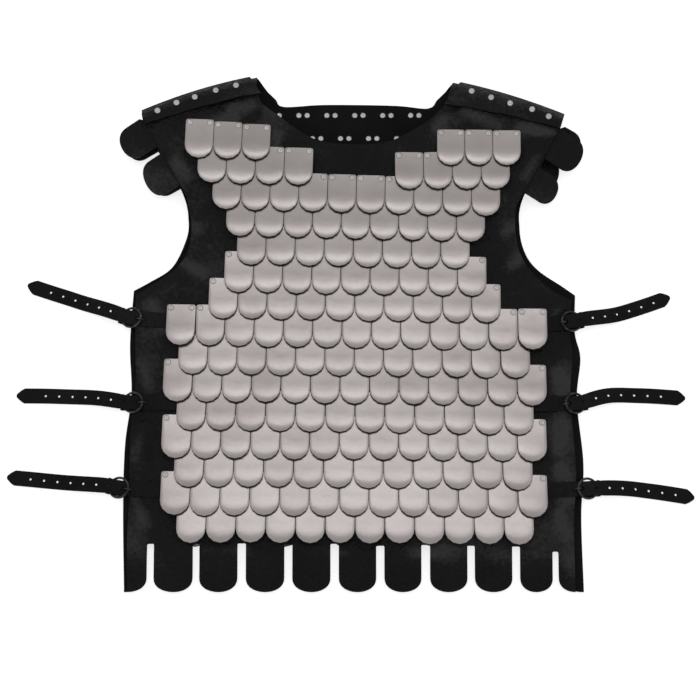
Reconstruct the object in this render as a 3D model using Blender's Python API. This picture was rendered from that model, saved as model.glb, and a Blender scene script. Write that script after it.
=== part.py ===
"""Scale armour: a black leather body armour with steel scales, laid flat with its front up.

Sizes are in millimetres until each mesh is made. x runs to the right, y toward the
neck and z up from the floor. The front panel lies on the back panel, and both rise
into one soft fold at each shoulder.
"""

import math
from collections import namedtuple

import bpy
from mathutils.geometry import delaunay_2d_cdt

MM = 0.001

# Thicknesses and gaps
LEATHER = 2.5
STRIP = 2.2
STRAP = 2.0
STEEL = 1.2
SEAM = 0.3
FOLD_GAP = STRIP + 0.8

# Scales
SCALE_WIDTH = 38.1
SCALE_GAP = 0.7
SCALE_LENGTH = 57.0
SCALE_STRAIGHT = 38.0
SCALE_BAND = 8.0
SCALE_DISH = 2.0
SCALE_DISH_AT = 43.0
SCALE_TILT = 0.07
END_LIFT = 3.0
BACK_PITCH = 38.9
BACK_STEP = 38.4
BACK_CREASE = 37.5
BACK_RISE = 3.3
BACK_TOP = 333.7
BACK_MIDDLE = 12.2
BACK_COUNTS = (8, 11, 10, 9, 8, 9, 10, 13, 12, 13, 12, 13, 12, 13, 12)

# Heights of the panels: the rim, and the rise of each over the scales
BACK_RIM = 2.3
BACK_SWELL = 2.5
FRONT_RIM = BACK_RIM + 2 * LEATHER + SEAM
FRONT_SWELL = 4.9
CENTRE_X = 8.0
RAMP = 35.0
HEM_Y = -261.0
BEND_Y = -10.0
NECK_HALF = 120.0
CROWN = 36.0
BACK_LEG = 22.0
BACK_LEVEL = 32.0
HALF_WIDTHS = ((74.0, 255.5), (104.0, 203.5), (190.0, 203.5), (240.0, 320.0))

# Shoulder folds: the line of the fold's edge in plan, its bow, the front leg of the strip that
# covers it at the neck and at the outer end, the slant of the strip's neck end, and how far that
# leg's edge curls up there
Fold = namedtuple("Fold", "side neck outer bow leg outer_leg slant curl")
LEFT_FOLD = Fold(-1, (-128.0, 381.5), (-284.0, 330.5), 5.0, 35.5, 27.0, 7.0, 4.0)
RIGHT_FOLD = Fold(1, (142.0, 374.0), (292.0, 325.0), 4.0, 43.5, 28.0, 12.0, 0.0)
STRIP_START = 11.0
FOLD_RADIUS_NECK = 19.0
FOLD_RADIUS_OUTER = 21.0

# Front rows: name, count, left end x and bottom y, right end x and bottom y
FrontRow = namedtuple("FrontRow", "name count left_x left_y right_x right_y")
FRONT_ROWS = (
    FrontRow("front_scales_01_left", 3, -222.8, 257.0, -108.5, 255.3),
    FrontRow("front_scales_01_right", 3, 117.0, 249.4, 231.2, 248.4),
    FrontRow("front_scales_02_left", 4, -205.4, 224.0, -51.0, 219.8),
    FrontRow("front_scales_02_right", 4, 60.8, 214.8, 214.6, 215.0),
    FrontRow("front_scales_03", 10, -185.2, 187.2, 200.5, 177.6),
    FrontRow("front_scales_04", 9, -166.3, 151.3, 179.8, 142.6),
    FrontRow("front_scales_05", 8, -151.4, 112.3, 159.2, 106.6),
    FrontRow("front_scales_06", 9, -167.9, 75.3, 181.2, 69.4),
    FrontRow("front_scales_07", 10, -188.4, 39.7, 199.8, 33.3),
    FrontRow("front_scales_08", 13, -244.2, 3.7, 260.9, -3.4),
    FrontRow("front_scales_09", 12, -227.3, -34.6, 237.7, -40.1),
    FrontRow("front_scales_10", 13, -247.0, -70.9, 258.7, -77.4),
    FrontRow("front_scales_11", 12, -228.5, -108.7, 240.6, -116.2),
    FrontRow("front_scales_12", 13, -247.0, -146.1, 257.2, -151.0),
    FrontRow("front_scales_13", 12, -229.6, -183.4, 237.7, -187.3),
    FrontRow("front_scales_14", 13, -246.8, -220.2, 256.7, -223.6),
    FrontRow("front_scales_15", 12, -225.0, -255.8, 237.7, -258.3),
)

# Hem slots: middle x, width, top y
Slot = namedtuple("Slot", "x width top")
SLOTS = (
    Slot(-258.5, 9.2, -255.5),
    Slot(-199.2, 8.7, -255.5),
    Slot(-140.2, 10.9, -255.0),
    Slot(-79.8, 10.4, -256.5),
    Slot(-19.9, 10.8, -255.5),
    Slot(39.2, 10.6, -258.0),
    Slot(98.0, 11.3, -257.0),
    Slot(156.7, 9.7, -258.0),
    Slot(215.0, 10.3, -259.0),
    Slot(266.0, 7.9, -265.6),
)
HEM_BOTTOM = -317.5
HEM_ROUND = 19.0

# Edges in plan, each from the hem's left corner round by the right, as points of a smooth curve
FRONT_RIGHT_SIDE = ((291.0, -315.0), (291.6, -226.0), (296.3, -160.0), (291.4, -66.0), (295.6, -9.5),
                    (293.0, 25.0), (295.4, 66.8))
FRONT_RIGHT_ARM = ((295.4, 66.8), (270.5, 79.8), (243.8, 104.7), (227.8, 129.8), (221.8, 160.0),
                   (223.4, 191.2), (232.6, 211.0), (284.6, 302.0))
FRONT_NECK = ((129.6, 336.0), (107.2, 313.9), (75.8, 294.6), (50.1, 283.3), (9.5, 279.7),
              (-33.8, 283.3), (-62.7, 294.9), (-103.9, 324.9), (-120.8, 339.0), (-125.3, 353.2))
FRONT_LEFT_ARM = ((-279.8, 310.8), (-227.0, 220.5), (-216.7, 194.0), (-212.6, 165.0), (-217.8, 132.5),
                  (-232.6, 110.9), (-258.0, 92.0), (-286.1, 75.0))
FRONT_LEFT_SIDE = ((-286.1, 75.0), (-286.0, 6.8), (-284.2, -47.2), (-289.0, -100.0), (-288.6, -199.1),
                   (-289.6, -251.0), (-287.6, -315.0))
BACK_RIGHT_SIDE = ((302.2, -314.0), (301.7, -220.0), (306.6, -150.0), (299.9, -67.0), (304.8, -10.0),
                   (298.0, 24.5), (301.8, 68.4))
BACK_RIGHT_ARM = ((301.8, 68.4), (286.0, 90.0), (251.7, 112.1), (234.7, 134.3), (228.0, 168.0),
                  (235.1, 212.9), (284.6, 302.0))
BACK_NECK = ((130.9, 363.5), (119.8, 351.8), (107.3, 339.4), (60.0, 343.4), (-33.0, 344.6),
             (-90.8, 341.7), (-101.9, 351.8), (-113.0, 363.5))
BACK_LEFT_ARM = ((-279.8, 310.8), (-229.5, 222.5), (-218.6, 176.0), (-224.1, 145.5), (-242.2, 112.1),
                 (-279.3, 90.0), (-291.1, 68.4))
BACK_LEFT_SIDE = ((-291.1, 68.4), (-294.7, 8.2), (-289.6, -60.0), (-296.2, -126.1), (-296.3, -210.2),
                  (-292.1, -314.0))

# Shoulder tabs, two cut in one piece: side, panel, where each starts along the shoulder's edge,
# its width and how far it reaches past that edge, and the trim of the root's upper corner
Tab = namedtuple("Tab", "start width reach")
TabPair = namedtuple("TabPair", "name side on_front upper lower trim")
TABS = (
    TabPair("front_tabs_left", -1, True, Tab(-414.5, 44.5, 43.5), Tab(-358.5, 49.5, 39.0), 19.0),
    TabPair("back_tabs_left", -1, False, Tab(-414.0, 43.5, 39.0), Tab(-357.5, 48.5, 34.0), 19.0),
    TabPair("front_tabs_right", 1, True, Tab(-402.5, 46.5, 45.0), Tab(-342.0, 39.5, 39.5), 5.0),
    TabPair("back_tabs_right", 1, False, Tab(-417.5, 52.0, 36.5), Tab(-361.0, 54.0, 31.0), 19.0),
)
TAB_ROUND = 20.0
TAB_ROOT = 13.0
TAB_DROP = 11.0
BACK_TAB_DROP = 5.0
SHOULDER_EDGE = {-1: 86.4, 1: 96.0}

# Straps: start on the front, buckle middle, first hole, mid tail, end of tail, and height at the buckle
StrapRun = namedtuple("StrapRun", "name side start buckle hole middle end height")
STRAPS = (
    StrapRun("top_left", -1, (-235.2, 37.6), (-290.7, 43.2), (-302.4, 46.2), (-350.5, 62.5), (-433.4, 89.6), 15.4),
    StrapRun("middle_left", -1, (-229.3, -71.6), (-286.4, -70.2), (-298.4, -70.0), (-350.3, -63.3),
             (-442.3, -61.0), 10.2),
    StrapRun("bottom_left", -1, (-247.6, -186.5), (-301.7, -182.9), (-313.9, -180.5), (-369.8, -176.8),
             (-450.2, -169.5), 10.2),
    StrapRun("top_right", 1, (252.0, 32.0), (294.4, 38.2), (305.8, 40.2), (356.7, 49.8), (429.6, 74.0), 15.4),
    StrapRun("middle_right", 1, (242.3, -73.2), (297.2, -71.2), (308.0, -69.7), (354.6, -61.3), (444.6, -65.6),
             10.2),
    StrapRun("bottom_right", 1, (258.3, -186.5), (310.4, -184.0), (321.3, -183.5), (374.9, -184.4),
             (450.9, -195.6), 10.2),
)
STRAP_WIDTH = 20.0
PINCH = 15.0
PRONG_HOLE = 2.6
STRAP_TO_FLOOR = 62.0
TIP_LENGTH = 11.0
RING_RADIUS = 13.0
WIRE_RADIUS = 1.5
PRONG_RADIUS = 1.1
CHAPE_WIDTH = 17.0
CHAPE_SLOT = 5.0

# Colours from the photo: colour, metallic, roughness
PAINTS = {
    "black_leather": ((0.013, 0.013, 0.014), 0.0, 0.55),
    "steel_scale": ((0.52, 0.48, 0.48), 0.9, 0.36),
    "dark_buckle": ((0.06, 0.06, 0.062), 0.85, 0.42),
}


def clamp(value):
    return min(1.0, max(0.0, value))


def mixed(rows, at):
    """Value of a two-column table at a place, held past its ends."""
    if at <= rows[0][0]:
        return rows[0][1]
    for (a, low), (b, high) in zip(rows, rows[1:]):
        if at <= b:
            return low + (high - low) * (at - a) / (b - a)
    return rows[-1][1]


def smooth(t):
    t = clamp(t)
    return t * t * (3 - 2 * t)


# Height of the panels


def fold_of(x):
    return LEFT_FOLD if x < 0 else RIGHT_FOLD


def fold_axes(fold):
    """Unit vectors along the fold, away from the neck, and into the garment."""
    dx = fold.outer[0] - fold.neck[0]
    dy = fold.outer[1] - fold.neck[1]
    length = math.hypot(dx, dy)
    outward = (dx / length, dy / length)
    return outward, (fold.side * outward[1], -fold.side * outward[0])


def fold_y(fold, x):
    """The fold's edge at an x: a straight line with a shallow bow."""
    t = (x - fold.neck[0]) / (fold.outer[0] - fold.neck[0])
    return fold.neck[1] + t * (fold.outer[1] - fold.neck[1]) + 4 * fold.bow * clamp(t) * (1 - clamp(t))


def fold_distance(x, y):
    fold = fold_of(x)
    return (fold_y(fold, x) - y) * abs(fold_axes(fold)[0][0])


def fold_radius(x):
    t = clamp((abs(x) - 130.0) / 160.0)
    return FOLD_RADIUS_NECK + (FOLD_RADIUS_OUTER - FOLD_RADIUS_NECK) * t


def field(x, y):
    """One over the scales, falling straight to zero at the rim of the sides and the hem."""
    side = (mixed(HALF_WIDTHS, y) + RAMP - abs(x - CENTRE_X)) / RAMP
    hem = (y - HEM_Y + RAMP) / RAMP
    return clamp(min(side, hem))


def crown_y(x):
    """Where the front panel is at its highest, just short of the shoulder's fold."""
    if abs(x) < NECK_HALF:
        left = crown_y(-NECK_HALF)
        return left + (crown_y(NECK_HALF) - left) * (x + NECK_HALF) / (2 * NECK_HALF)
    fold = fold_of(x)
    return fold_y(fold, x) - CROWN / abs(fold_axes(fold)[0][0])


def front_top(x, y):
    """Upper face of the front panel: flat to the chest, then a straight rise to the shoulders."""
    t = clamp((y - BEND_Y) / (crown_y(x) - BEND_Y))
    rise = 2 * fold_radius(x) - FOLD_GAP - FRONT_RIM - FRONT_SWELL
    return FRONT_RIM + FRONT_SWELL * field(x, y) + t * rise


def back_low(x, y):
    """Lower face of the back panel: over the scales, and lower on the leg of the shoulder strip."""
    plain = BACK_RIM + BACK_SWELL * field(x, y)
    away = clamp((fold_distance(x, y) - BACK_LEG - 0.5) / (BACK_LEVEL - BACK_LEG - 0.5))
    return FOLD_GAP + (plain - FOLD_GAP) * away


def on_panel(x, y, depth, front):
    """Point of a panel under plan point x, y, at a depth into the leather from its outer face."""
    fold = fold_of(x)
    radius = fold_radius(x)
    distance = fold_distance(x, y)
    if distance >= radius:
        return x, y, (front_top(x, y) - depth if front else back_low(x, y) + depth)
    inward = fold_axes(fold)[1]
    turn = (radius - distance) / (radius - FOLD_GAP)
    arm = radius - FOLD_GAP - depth
    shift = radius - arm * math.sin(turn) - distance
    up = arm * math.cos(turn)
    return x + inward[0] * shift, y + inward[1] * shift, radius + (up if front else -up)


# Outlines in plan


def curve(points, step=24.0):
    """Points about a step apart on the smooth curve through the given ones."""
    ends = [points[0], *points, points[-1]]
    out = [points[0]]
    for a, b, c, d in zip(ends, ends[1:], ends[2:], ends[3:]):
        pieces = max(1, round(math.dist(b, c) / step))
        for k in range(1, pieces + 1):
            t = k / pieces
            out.append(tuple(
                0.5 * (2 * b[i] + (c[i] - a[i]) * t + (2 * a[i] - 5 * b[i] + 4 * c[i] - d[i]) * t * t
                       + (3 * b[i] - a[i] - 3 * c[i] + d[i]) * t ** 3)
                for i in (0, 1)))
    return out


def straight(a, b, step):
    pieces = max(1, round(math.dist(a, b) / step))
    return [(a[0] + (b[0] - a[0]) * k / pieces, a[1] + (b[1] - a[1]) * k / pieces)
            for k in range(pieces + 1)]


def fold_edge(fold, t, distance):
    """Plan point at a share t along the fold and a distance into the garment from its edge."""
    x = fold.neck[0] + t * (fold.outer[0] - fold.neck[0])
    inward = fold_axes(fold)[1]
    return x + inward[0] * distance, fold_y(fold, x) + inward[1] * distance


def panel_end(x):
    """Flat distance of a panel's own edge, which meets the other panel's at the fold's edge."""
    radius = fold_radius(x)
    return radius - (radius - FOLD_GAP) * math.pi / 2 + SEAM


def fold_line(fold, pieces=6):
    """The panel's edge in the fold, from the neck to the outer end."""
    points = []
    for k in range(pieces + 1):
        x = fold.neck[0] + k / pieces * (fold.outer[0] - fold.neck[0])
        points.append(fold_edge(fold, k / pieces, panel_end(x)))
    return points


def hem_line(left, right, spare):
    """The hem's tabs from left to right, each with a round end."""
    points = []
    starts = [left] + [slot.x + slot.width / 2 + spare for slot in SLOTS]
    ends = [slot.x - slot.width / 2 - spare for slot in SLOTS] + [right]
    for k, (a, b) in enumerate(zip(starts, ends)):
        if k:
            points.append((a, SLOTS[k - 1].top))
        first = k == 0
        last = k == len(SLOTS)
        middle = a if first else b if last else (a + b) / 2
        half = (b - a) / (1 if first or last else 2)
        for step in range(0, 7):
            angle = math.pi * step / 6
            side = -math.cos(angle)
            if (first and side < 0) or (last and side > 0):
                continue
            points.append((middle + half * side, HEM_BOTTOM + HEM_ROUND - HEM_ROUND * math.sin(angle) ** 0.8))
        if last:
            points[-1] = (b, HEM_BOTTOM)
        if not last:
            points.append((b, SLOTS[k].top))
    points[0] = (left, HEM_BOTTOM)
    return points


def joined(*runs):
    """One loop of points, with repeats at the joins left out."""
    points = []
    for run in runs:
        for point in run:
            if not points or math.dist(points[-1], point) > 1.5:
                points.append(point)
    if math.dist(points[0], points[-1]) < 1.5:
        points.pop()
    return points


def panel_outline(hem, right_side, right_arm, neck, left_arm, left_side):
    """Outline of a panel, counter-clockwise, as the leather is cut, with the folds opened flat."""
    right_edge = fold_line(RIGHT_FOLD)[::-1]
    left_edge = fold_line(LEFT_FOLD)
    return joined(
        hem,
        curve(right_side, 45.0)[1:],
        curve(right_arm),
        straight(right_arm[-1], right_edge[0], 7.0),
        right_edge,
        straight(right_edge[-1], neck[0], 7.0),
        curve(neck),
        straight(neck[-1], left_edge[0], 7.0),
        left_edge,
        straight(left_edge[-1], left_arm[0], 7.0),
        curve(left_arm),
        curve(left_side, 45.0)[:-1],
    )


def inside(loop, x, y):
    found = False
    for (ax, ay), (bx, by) in zip(loop, loop[1:] + loop[:1]):
        if (ay > y) != (by > y) and x < ax + (y - ay) * (bx - ax) / (by - ay):
            found = not found
    return found


def field_lines():
    """Lines on which the panels bend: the scales' border and the rim, left and right, and the hem."""
    lines = []
    for side in (-1, 1):
        for spread in (0.0, RAMP):
            run = [(HEM_Y - spread, HALF_WIDTHS[0][1])] + list(HALF_WIDTHS)
            points = [(CENTRE_X + side * (half + spread), y) for y, half in run]
            for a, b in zip(points, points[1:]):
                lines.append(straight(a, b, 55.0))
    for spread in (0.0, RAMP):
        half = HALF_WIDTHS[0][1] + spread
        lines.append(straight((CENTRE_X - half, HEM_Y - spread), (CENTRE_X + half, HEM_Y - spread), 60.0))
    for side in (-1, 1):
        half = HALF_WIDTHS[0][1]
        lines.append([(CENTRE_X + side * half, HEM_Y), (CENTRE_X + side * (half + RAMP), HEM_Y - RAMP)])
    return lines


def fold_lines(distances):
    """Lines along each fold at the given distances from its edge."""
    return [[fold_edge(fold, k / 5, distance) for k in range(6)]
            for fold in (LEFT_FOLD, RIGHT_FOLD) for distance in distances]


def turns():
    """Distances of the lines that shape the quarter turn of a panel in its fold."""
    radius = (FOLD_RADIUS_NECK + FOLD_RADIUS_OUTER) / 2
    return [radius - (radius - FOLD_GAP) * math.radians(angle) for angle in (0, 23, 46, 69)]


def grid(step):
    points = []
    for row in range(-6, 8):
        for column in range(-6, 7):
            points.append((CENTRE_X + column * step + (row % 2) * step / 2, row * step))
    return points


# Solids


def paint(name):
    if name in bpy.data.materials:
        return bpy.data.materials[name]
    colour, metallic, roughness = PAINTS[name]
    made = bpy.data.materials.new(name)
    made.use_nodes = True
    shader = made.node_tree.nodes["Principled BSDF"]
    shader.inputs["Base Color"].default_value = (*colour, 1.0)
    shader.inputs["Metallic"].default_value = metallic
    shader.inputs["Roughness"].default_value = roughness
    made.diffuse_color = (*colour, 1.0)
    return made


def solid(name, points, faces, look):
    mesh = bpy.data.meshes.new(name)
    mesh.from_pydata([tuple(MM * value for value in point) for point in points], [], faces)
    mesh.update()
    made = bpy.data.objects.new(name, mesh)
    made.data.materials.append(paint(look))
    bpy.context.scene.collection.objects.link(made)
    return made


def slab(name, outline, guides, dots, place, thickness, look, up=True, hole=()):
    """Closed sheet over a plan outline: place(x, y, depth) gives its points, and up its outer face."""
    points = list(outline)
    count = len(points)
    edges = [(k, (k + 1) % count) for k in range(count)]
    for line in [*guides, *([[*hole, hole[0]]] if hole else [])]:
        first = len(points)
        points.extend(line)
        edges.extend((first + k, first + k + 1) for k in range(len(line) - 1))
    points.extend(dots)
    plan, _, faces, _, _, _ = delaunay_2d_cdt(points, edges, [], 0, 0.02)
    middles = [(sum(plan[i][0] for i in face) / 3, sum(plan[i][1] for i in face) / 3) for face in faces]
    faces = [face for face, middle in zip(faces, middles)
             if inside(outline, *middle) and not (hole and inside(hole, *middle))]
    used = sorted({i for face in faces for i in face})
    order = {old: new for new, old in enumerate(used)}
    faces = [tuple(order[i] for i in face) for face in faces]
    total = len(used)
    outer = [place(plan[i][0], plan[i][1], 0.0) for i in used]
    inner = [place(plan[i][0], plan[i][1], thickness) for i in used]
    sides = {(a, b) for face in faces for a, b in zip(face, face[1:] + face[:1])}
    walls = [(a, a + total, b + total, b) for a, b in sides if (b, a) not in sides]
    shell = faces + [tuple(i + total for i in face[::-1]) for face in faces] + walls
    if not up:
        shell = [face[::-1] for face in shell]
    return solid(name, outer + inner, shell, look)


def blocks(name, outer, inner, look, missing=()):
    """Closed strip from two matching grids of points, less the cells named in missing."""
    rows = len(outer)
    columns = len(outer[0])
    cells = {(i, j) for i in range(rows - 1) for j in range(columns - 1)} - set(missing)
    faces = []

    def at(i, j, low):
        return (i * columns + j) + low * rows * columns

    for i, j in sorted(cells):
        ring = ((i, j), (i + 1, j), (i + 1, j + 1), (i, j + 1))
        faces.append(tuple(at(*corner, 0) for corner in ring))
        faces.append(tuple(at(*corner, 1) for corner in ring[::-1]))
        beyond = ((i, j - 1), (i + 1, j), (i, j + 1), (i - 1, j))
        for a, b, cell in zip(ring, ring[1:] + ring[:1], beyond):
            if cell not in cells:
                faces.append((at(*a, 0), at(*a, 1), at(*b, 1), at(*b, 0)))
    points = [point for row in outer for point in row] + [point for row in inner for point in row]
    used = sorted({i for face in faces for i in face})
    order = {old: new for new, old in enumerate(used)}
    return solid(name, [points[i] for i in used], [tuple(order[i] for i in face) for face in faces], look)


# Panels


def clear_of(dots, outline, lines, gap):
    """The dots that lie inside the outline and a gap away from it and from the lines."""
    near = []
    for line in [outline + outline[:1], *lines]:
        for a, b in zip(line, line[1:]):
            near.extend(straight(a, b, gap))
    return [dot for dot in dots
            if inside(outline, *dot) and min(math.dist(dot, point) for point in near) > gap]


def front_panel():
    left = FRONT_LEFT_SIDE[-1][0]
    right = FRONT_RIGHT_SIDE[0][0]
    outline = panel_outline(hem_line(left, right, 0.0), FRONT_RIGHT_SIDE, FRONT_RIGHT_ARM, FRONT_NECK,
                            FRONT_LEFT_ARM, FRONT_LEFT_SIDE)
    lines = field_lines() + fold_lines(turns() + [CROWN])
    lines.append(straight((-300.0, BEND_Y), (310.0, BEND_Y), 61.0))
    slab("front_panel", outline, lines, clear_of(grid(70.0), outline, lines, 20.0),
         lambda x, y, depth: on_panel(x, y, depth, True), LEATHER, "black_leather")


def back_panel():
    left = BACK_LEFT_SIDE[-1][0]
    right = BACK_RIGHT_SIDE[0][0]
    outline = panel_outline(hem_line(left, right, 0.6), BACK_RIGHT_SIDE, BACK_RIGHT_ARM, BACK_NECK,
                            BACK_LEFT_ARM, BACK_LEFT_SIDE)
    lines = field_lines() + fold_lines(turns() + [BACK_LEG + 0.5, BACK_LEVEL])
    slab("back_panel", outline, lines, clear_of(grid(70.0), outline, lines, 20.0),
         lambda x, y, depth: on_panel(x, y, depth, False), LEATHER, "black_leather", up=False)


# Shoulder strips


def strip_profile(fold, t, x, depth):
    """Distance and height of the folded strip's section at a depth from its outer face."""
    radius = fold_radius(x)
    arm = radius - depth
    curl = fold.curl * clamp(1 - 2.2 * t)
    leg = fold.leg + (fold.outer_leg - fold.leg) * t
    section = [(share * (leg - radius) + radius, radius + arm + curl * share * share)
               for share in (1.0, 0.5)]
    for step in range(9):
        turn = math.pi * step / 8
        section.append((radius - arm * math.sin(turn), radius + arm * math.cos(turn)))
    section.append((BACK_LEG, radius - arm))
    return section


def shoulder_strip(fold, stations=8):
    faces = []
    for depth in (0.0, STRIP):
        rows = []
        for k in range(stations):
            t = k / (stations - 1)
            length = math.dist(fold.neck, fold.outer)
            along = STRIP_START + t * (length - STRIP_START)
            x = fold.neck[0] + along / length * (fold.outer[0] - fold.neck[0])
            outward = fold_axes(fold)[0]
            row = []
            for distance, z in strip_profile(fold, t, x, depth):
                place = fold_edge(fold, along / length, distance)
                slant = (1 - t) * fold.slant * distance / fold.leg
                row.append((place[0] - outward[0] * slant, place[1] - outward[1] * slant, z))
            rows.append(row if fold.side > 0 else row[::-1])
        faces.append(rows)
    name = "shoulder_strip_left" if fold.side < 0 else "shoulder_strip_right"
    blocks(name, faces[0], faces[1], "black_leather")


# Shoulder tabs


def shoulder_tabs(pair):
    """Two round-ended tabs with a common root, sewn inside a panel's shoulder edge."""
    along = (0.5 * -pair.side, -0.866)
    outward = (0.866 * pair.side, -0.5)
    edge = SHOULDER_EDGE[pair.side]
    base = edge - TAB_ROOT
    lower_end = pair.lower.start + pair.lower.width
    flat = [(lower_end, base)]
    for tab in (pair.lower, pair.upper):
        half = tab.width / 2
        straight_end = edge + tab.reach - TAB_ROUND
        if tab == pair.upper:
            flat.append((tab.start + tab.width, edge + 2.0))
        for step in range(0, 9):
            angle = math.pi * step / 8
            flat.append((tab.start + half + half * math.cos(angle),
                         straight_end + TAB_ROUND * math.sin(angle) ** 0.8))
        if tab == pair.lower:
            flat.append((tab.start, edge + 2.0))
    flat += [(pair.upper.start, edge + 3.0), (pair.upper.start + pair.trim, base)]
    outline = [(q * along[0] + u * outward[0], q * along[1] + u * outward[1]) for q, u in flat]
    if pair.side < 0:
        outline = outline[::-1]
    out = edge + 16.0
    guide = [(q * along[0] + out * outward[0], q * along[1] + out * outward[1])
             for q in (pair.upper.start - 5.0, pair.lower.start, lower_end + 5.0)]

    def place(x, y, depth):
        out = x * outward[0] + y * outward[1] - edge
        if pair.on_front:
            return x, y, front_top(x, y) - LEATHER - SEAM - depth - TAB_DROP * clamp(out / 45.0)
        fall = BACK_TAB_DROP * clamp((out - 15.0) / 28.0)
        return x, y, BACK_RIM + BACK_SWELL + LEATHER + SEAM + STRIP - depth - fall

    slab(pair.name, outline, [guide], [], place, STRIP, "black_leather")


# Scales


def scale_tongue(middle, half):
    """Outline of one scale below its row's band, from left to right, in row axes."""
    points = [(middle - half, SCALE_BAND), (middle - half, SCALE_STRAIGHT)]
    for side, down in ((-0.87, 47.5), (-0.5, 54.5), (0.0, SCALE_LENGTH), (0.5, 54.5), (0.87, 47.5)):
        points.append((middle + side * half, down))
    points += [(middle + half, SCALE_STRAIGHT), (middle + half, SCALE_BAND)]
    return points


def front_row(row):
    """One row of dished scales, joined at their hidden upper edges."""
    length = math.dist((row.left_x, row.left_y), (row.right_x, row.right_y))
    ax = ((row.right_x - row.left_x) / length, (row.right_y - row.left_y) / length)
    width = min(SCALE_WIDTH, (length - SCALE_GAP * (row.count - 1)) / row.count)
    pitch = (length - width) / (row.count - 1)
    lifted = row.name.endswith("08")

    def to_plan(across, down):
        rise = SCALE_LENGTH - down
        return (row.left_x + ax[0] * across - ax[1] * rise, row.left_y + ax[1] * across + ax[0] * rise)

    loop = []
    dots = []
    for k in range(row.count):
        middle = width / 2 + k * pitch
        loop += [to_plan(*point) for point in scale_tongue(middle, width / 2)]
        dots.append(to_plan(middle, SCALE_DISH_AT))
    tops = [length] + [width / 2 + (k - 0.5) * pitch for k in range(row.count - 1, 0, -2)] + [0.0]
    loop += [to_plan(across, 0.0) for across in tops]

    def place(x, y, depth):
        dx, dy = x - row.left_x, y - row.left_y
        across = dx * ax[0] + dy * ax[1]
        down = SCALE_LENGTH - (dy * ax[0] - dx * ax[1])
        low = front_top(x, y) + SEAM + SCALE_TILT * down
        if lifted:
            low += END_LIFT * clamp(1 - min(across, length - across) / SCALE_WIDTH)
        beside = abs((across - width / 2 + pitch / 2) % pitch - pitch / 2)
        dish = SCALE_DISH if beside < 1.0 and 30.0 < down < 50.0 else 0.0
        share = 1 - depth / STEEL
        return x, y, low + (STEEL + dish) * share

    slab(row.name, loop, [], dots, place, STEEL, "steel_scale")


def back_row(number, count):
    """One row of the back's scales, tilted under the row above and flat on the floor below."""
    top = BACK_TOP - BACK_STEP * number
    start = BACK_MIDDLE - (count * BACK_PITCH - (BACK_PITCH - SCALE_WIDTH)) / 2
    end = start + count * BACK_PITCH - (BACK_PITCH - SCALE_WIDTH)
    loop = []
    for k in range(count):
        middle = start + SCALE_WIDTH / 2 + k * BACK_PITCH
        left = start if k == 0 else middle - BACK_PITCH / 2
        loop += [(left, top - 41.0), (middle - 12.0, top - 53.0), (middle, top - SCALE_LENGTH),
                 (middle + 12.0, top - 53.0)]
    loop += [(end, top - 41.0), (end, top)]
    loop += [(start + 2 * k * BACK_PITCH, top) for k in range((count - 1) // 2, -1, -1)]
    crease = [(start + (end - start) * k / count, top - BACK_CREASE) for k in range(count + 1)]

    def place(x, y, depth):
        low = BACK_RISE * clamp(1 - (top - y) / BACK_CREASE)
        return x, y, low + STEEL - depth

    slab(f"back_scales_{number + 1:02d}", loop, [crease], [], place, STEEL, "steel_scale")


# Side straps and buckles


def unit(a, b):
    length = math.dist(a, b)
    return (b[0] - a[0]) / length, (b[1] - a[1]) / length


def strap_height(run, x, y):
    """Underside of a strap: on the front, up through the buckle, then down to the floor."""
    ahead = unit(run.buckle, run.hole)
    past = (x - run.buckle[0]) * ahead[0] + (y - run.buckle[1]) * ahead[1]
    if past > -RING_RADIUS:
        return run.height * (1 - smooth((past - 20.0) / STRAP_TO_FLOOR))
    on_front = max(front_top(x, y), front_top(x - 9.0 * run.side, y)) + SEAM
    t = smooth((past + 36.0) / (36.0 - RING_RADIUS - 2))
    return max(on_front * (1 - t) + run.height * t, front_top(x, y) + 2 * SEAM)


def strap(run):
    """Strap from the front panel through the buckle, with the hole that the prong fills."""
    line = curve([run.start, run.buckle, run.hole, run.middle, run.end], 17.0)
    ahead = unit(run.buckle, run.hole)
    left, right = [], []
    for k, (x, y) in enumerate(line):
        dx, dy = unit(line[max(0, k - 1)], line[min(len(line) - 1, k + 1)])
        past = (x - run.buckle[0]) * ahead[0] + (y - run.buckle[1]) * ahead[1]
        half = PINCH / 2 + (STRAP_WIDTH - PINCH) / 2 * smooth((abs(past) - RING_RADIUS) / 9.0)
        if k == len(line) - 1:
            x, y = x - TIP_LENGTH * dx, y - TIP_LENGTH * dy
        left.append((x - dy * half, y + dx * half))
        right.append((x + dy * half, y - dx * half))
    tip = [(line[-1][0] - dy * side, line[-1][1] + dx * side) for side in (-3.4, 3.4)]
    centre = (run.hole[0] - 0.5 * ahead[0], run.hole[1] - 0.5 * ahead[1])
    hole = [(centre[0] + PRONG_HOLE * math.cos(math.pi * k / 3), centre[1] + PRONG_HOLE * math.sin(math.pi * k / 3))
            for k in range(6)]
    slab(f"strap_{run.name}", right + tip + left[::-1], [], [],
         lambda x, y, depth: (x, y, strap_height(run, x, y) + STRAP - depth), STRAP, "black_leather", hole=hole)


def buckle_frame(run):
    """Axes of a buckle: outward along the strap, across it, and the heights of heel and front wire."""
    ahead = unit(run.buckle, run.hole)
    heel = run.height - STRAP - 2 * SEAM - WIRE_RADIUS
    front = run.height + STRAP + SEAM + WIRE_RADIUS + 1.4
    return ahead, (-ahead[1], ahead[0]), heel, front


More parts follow.
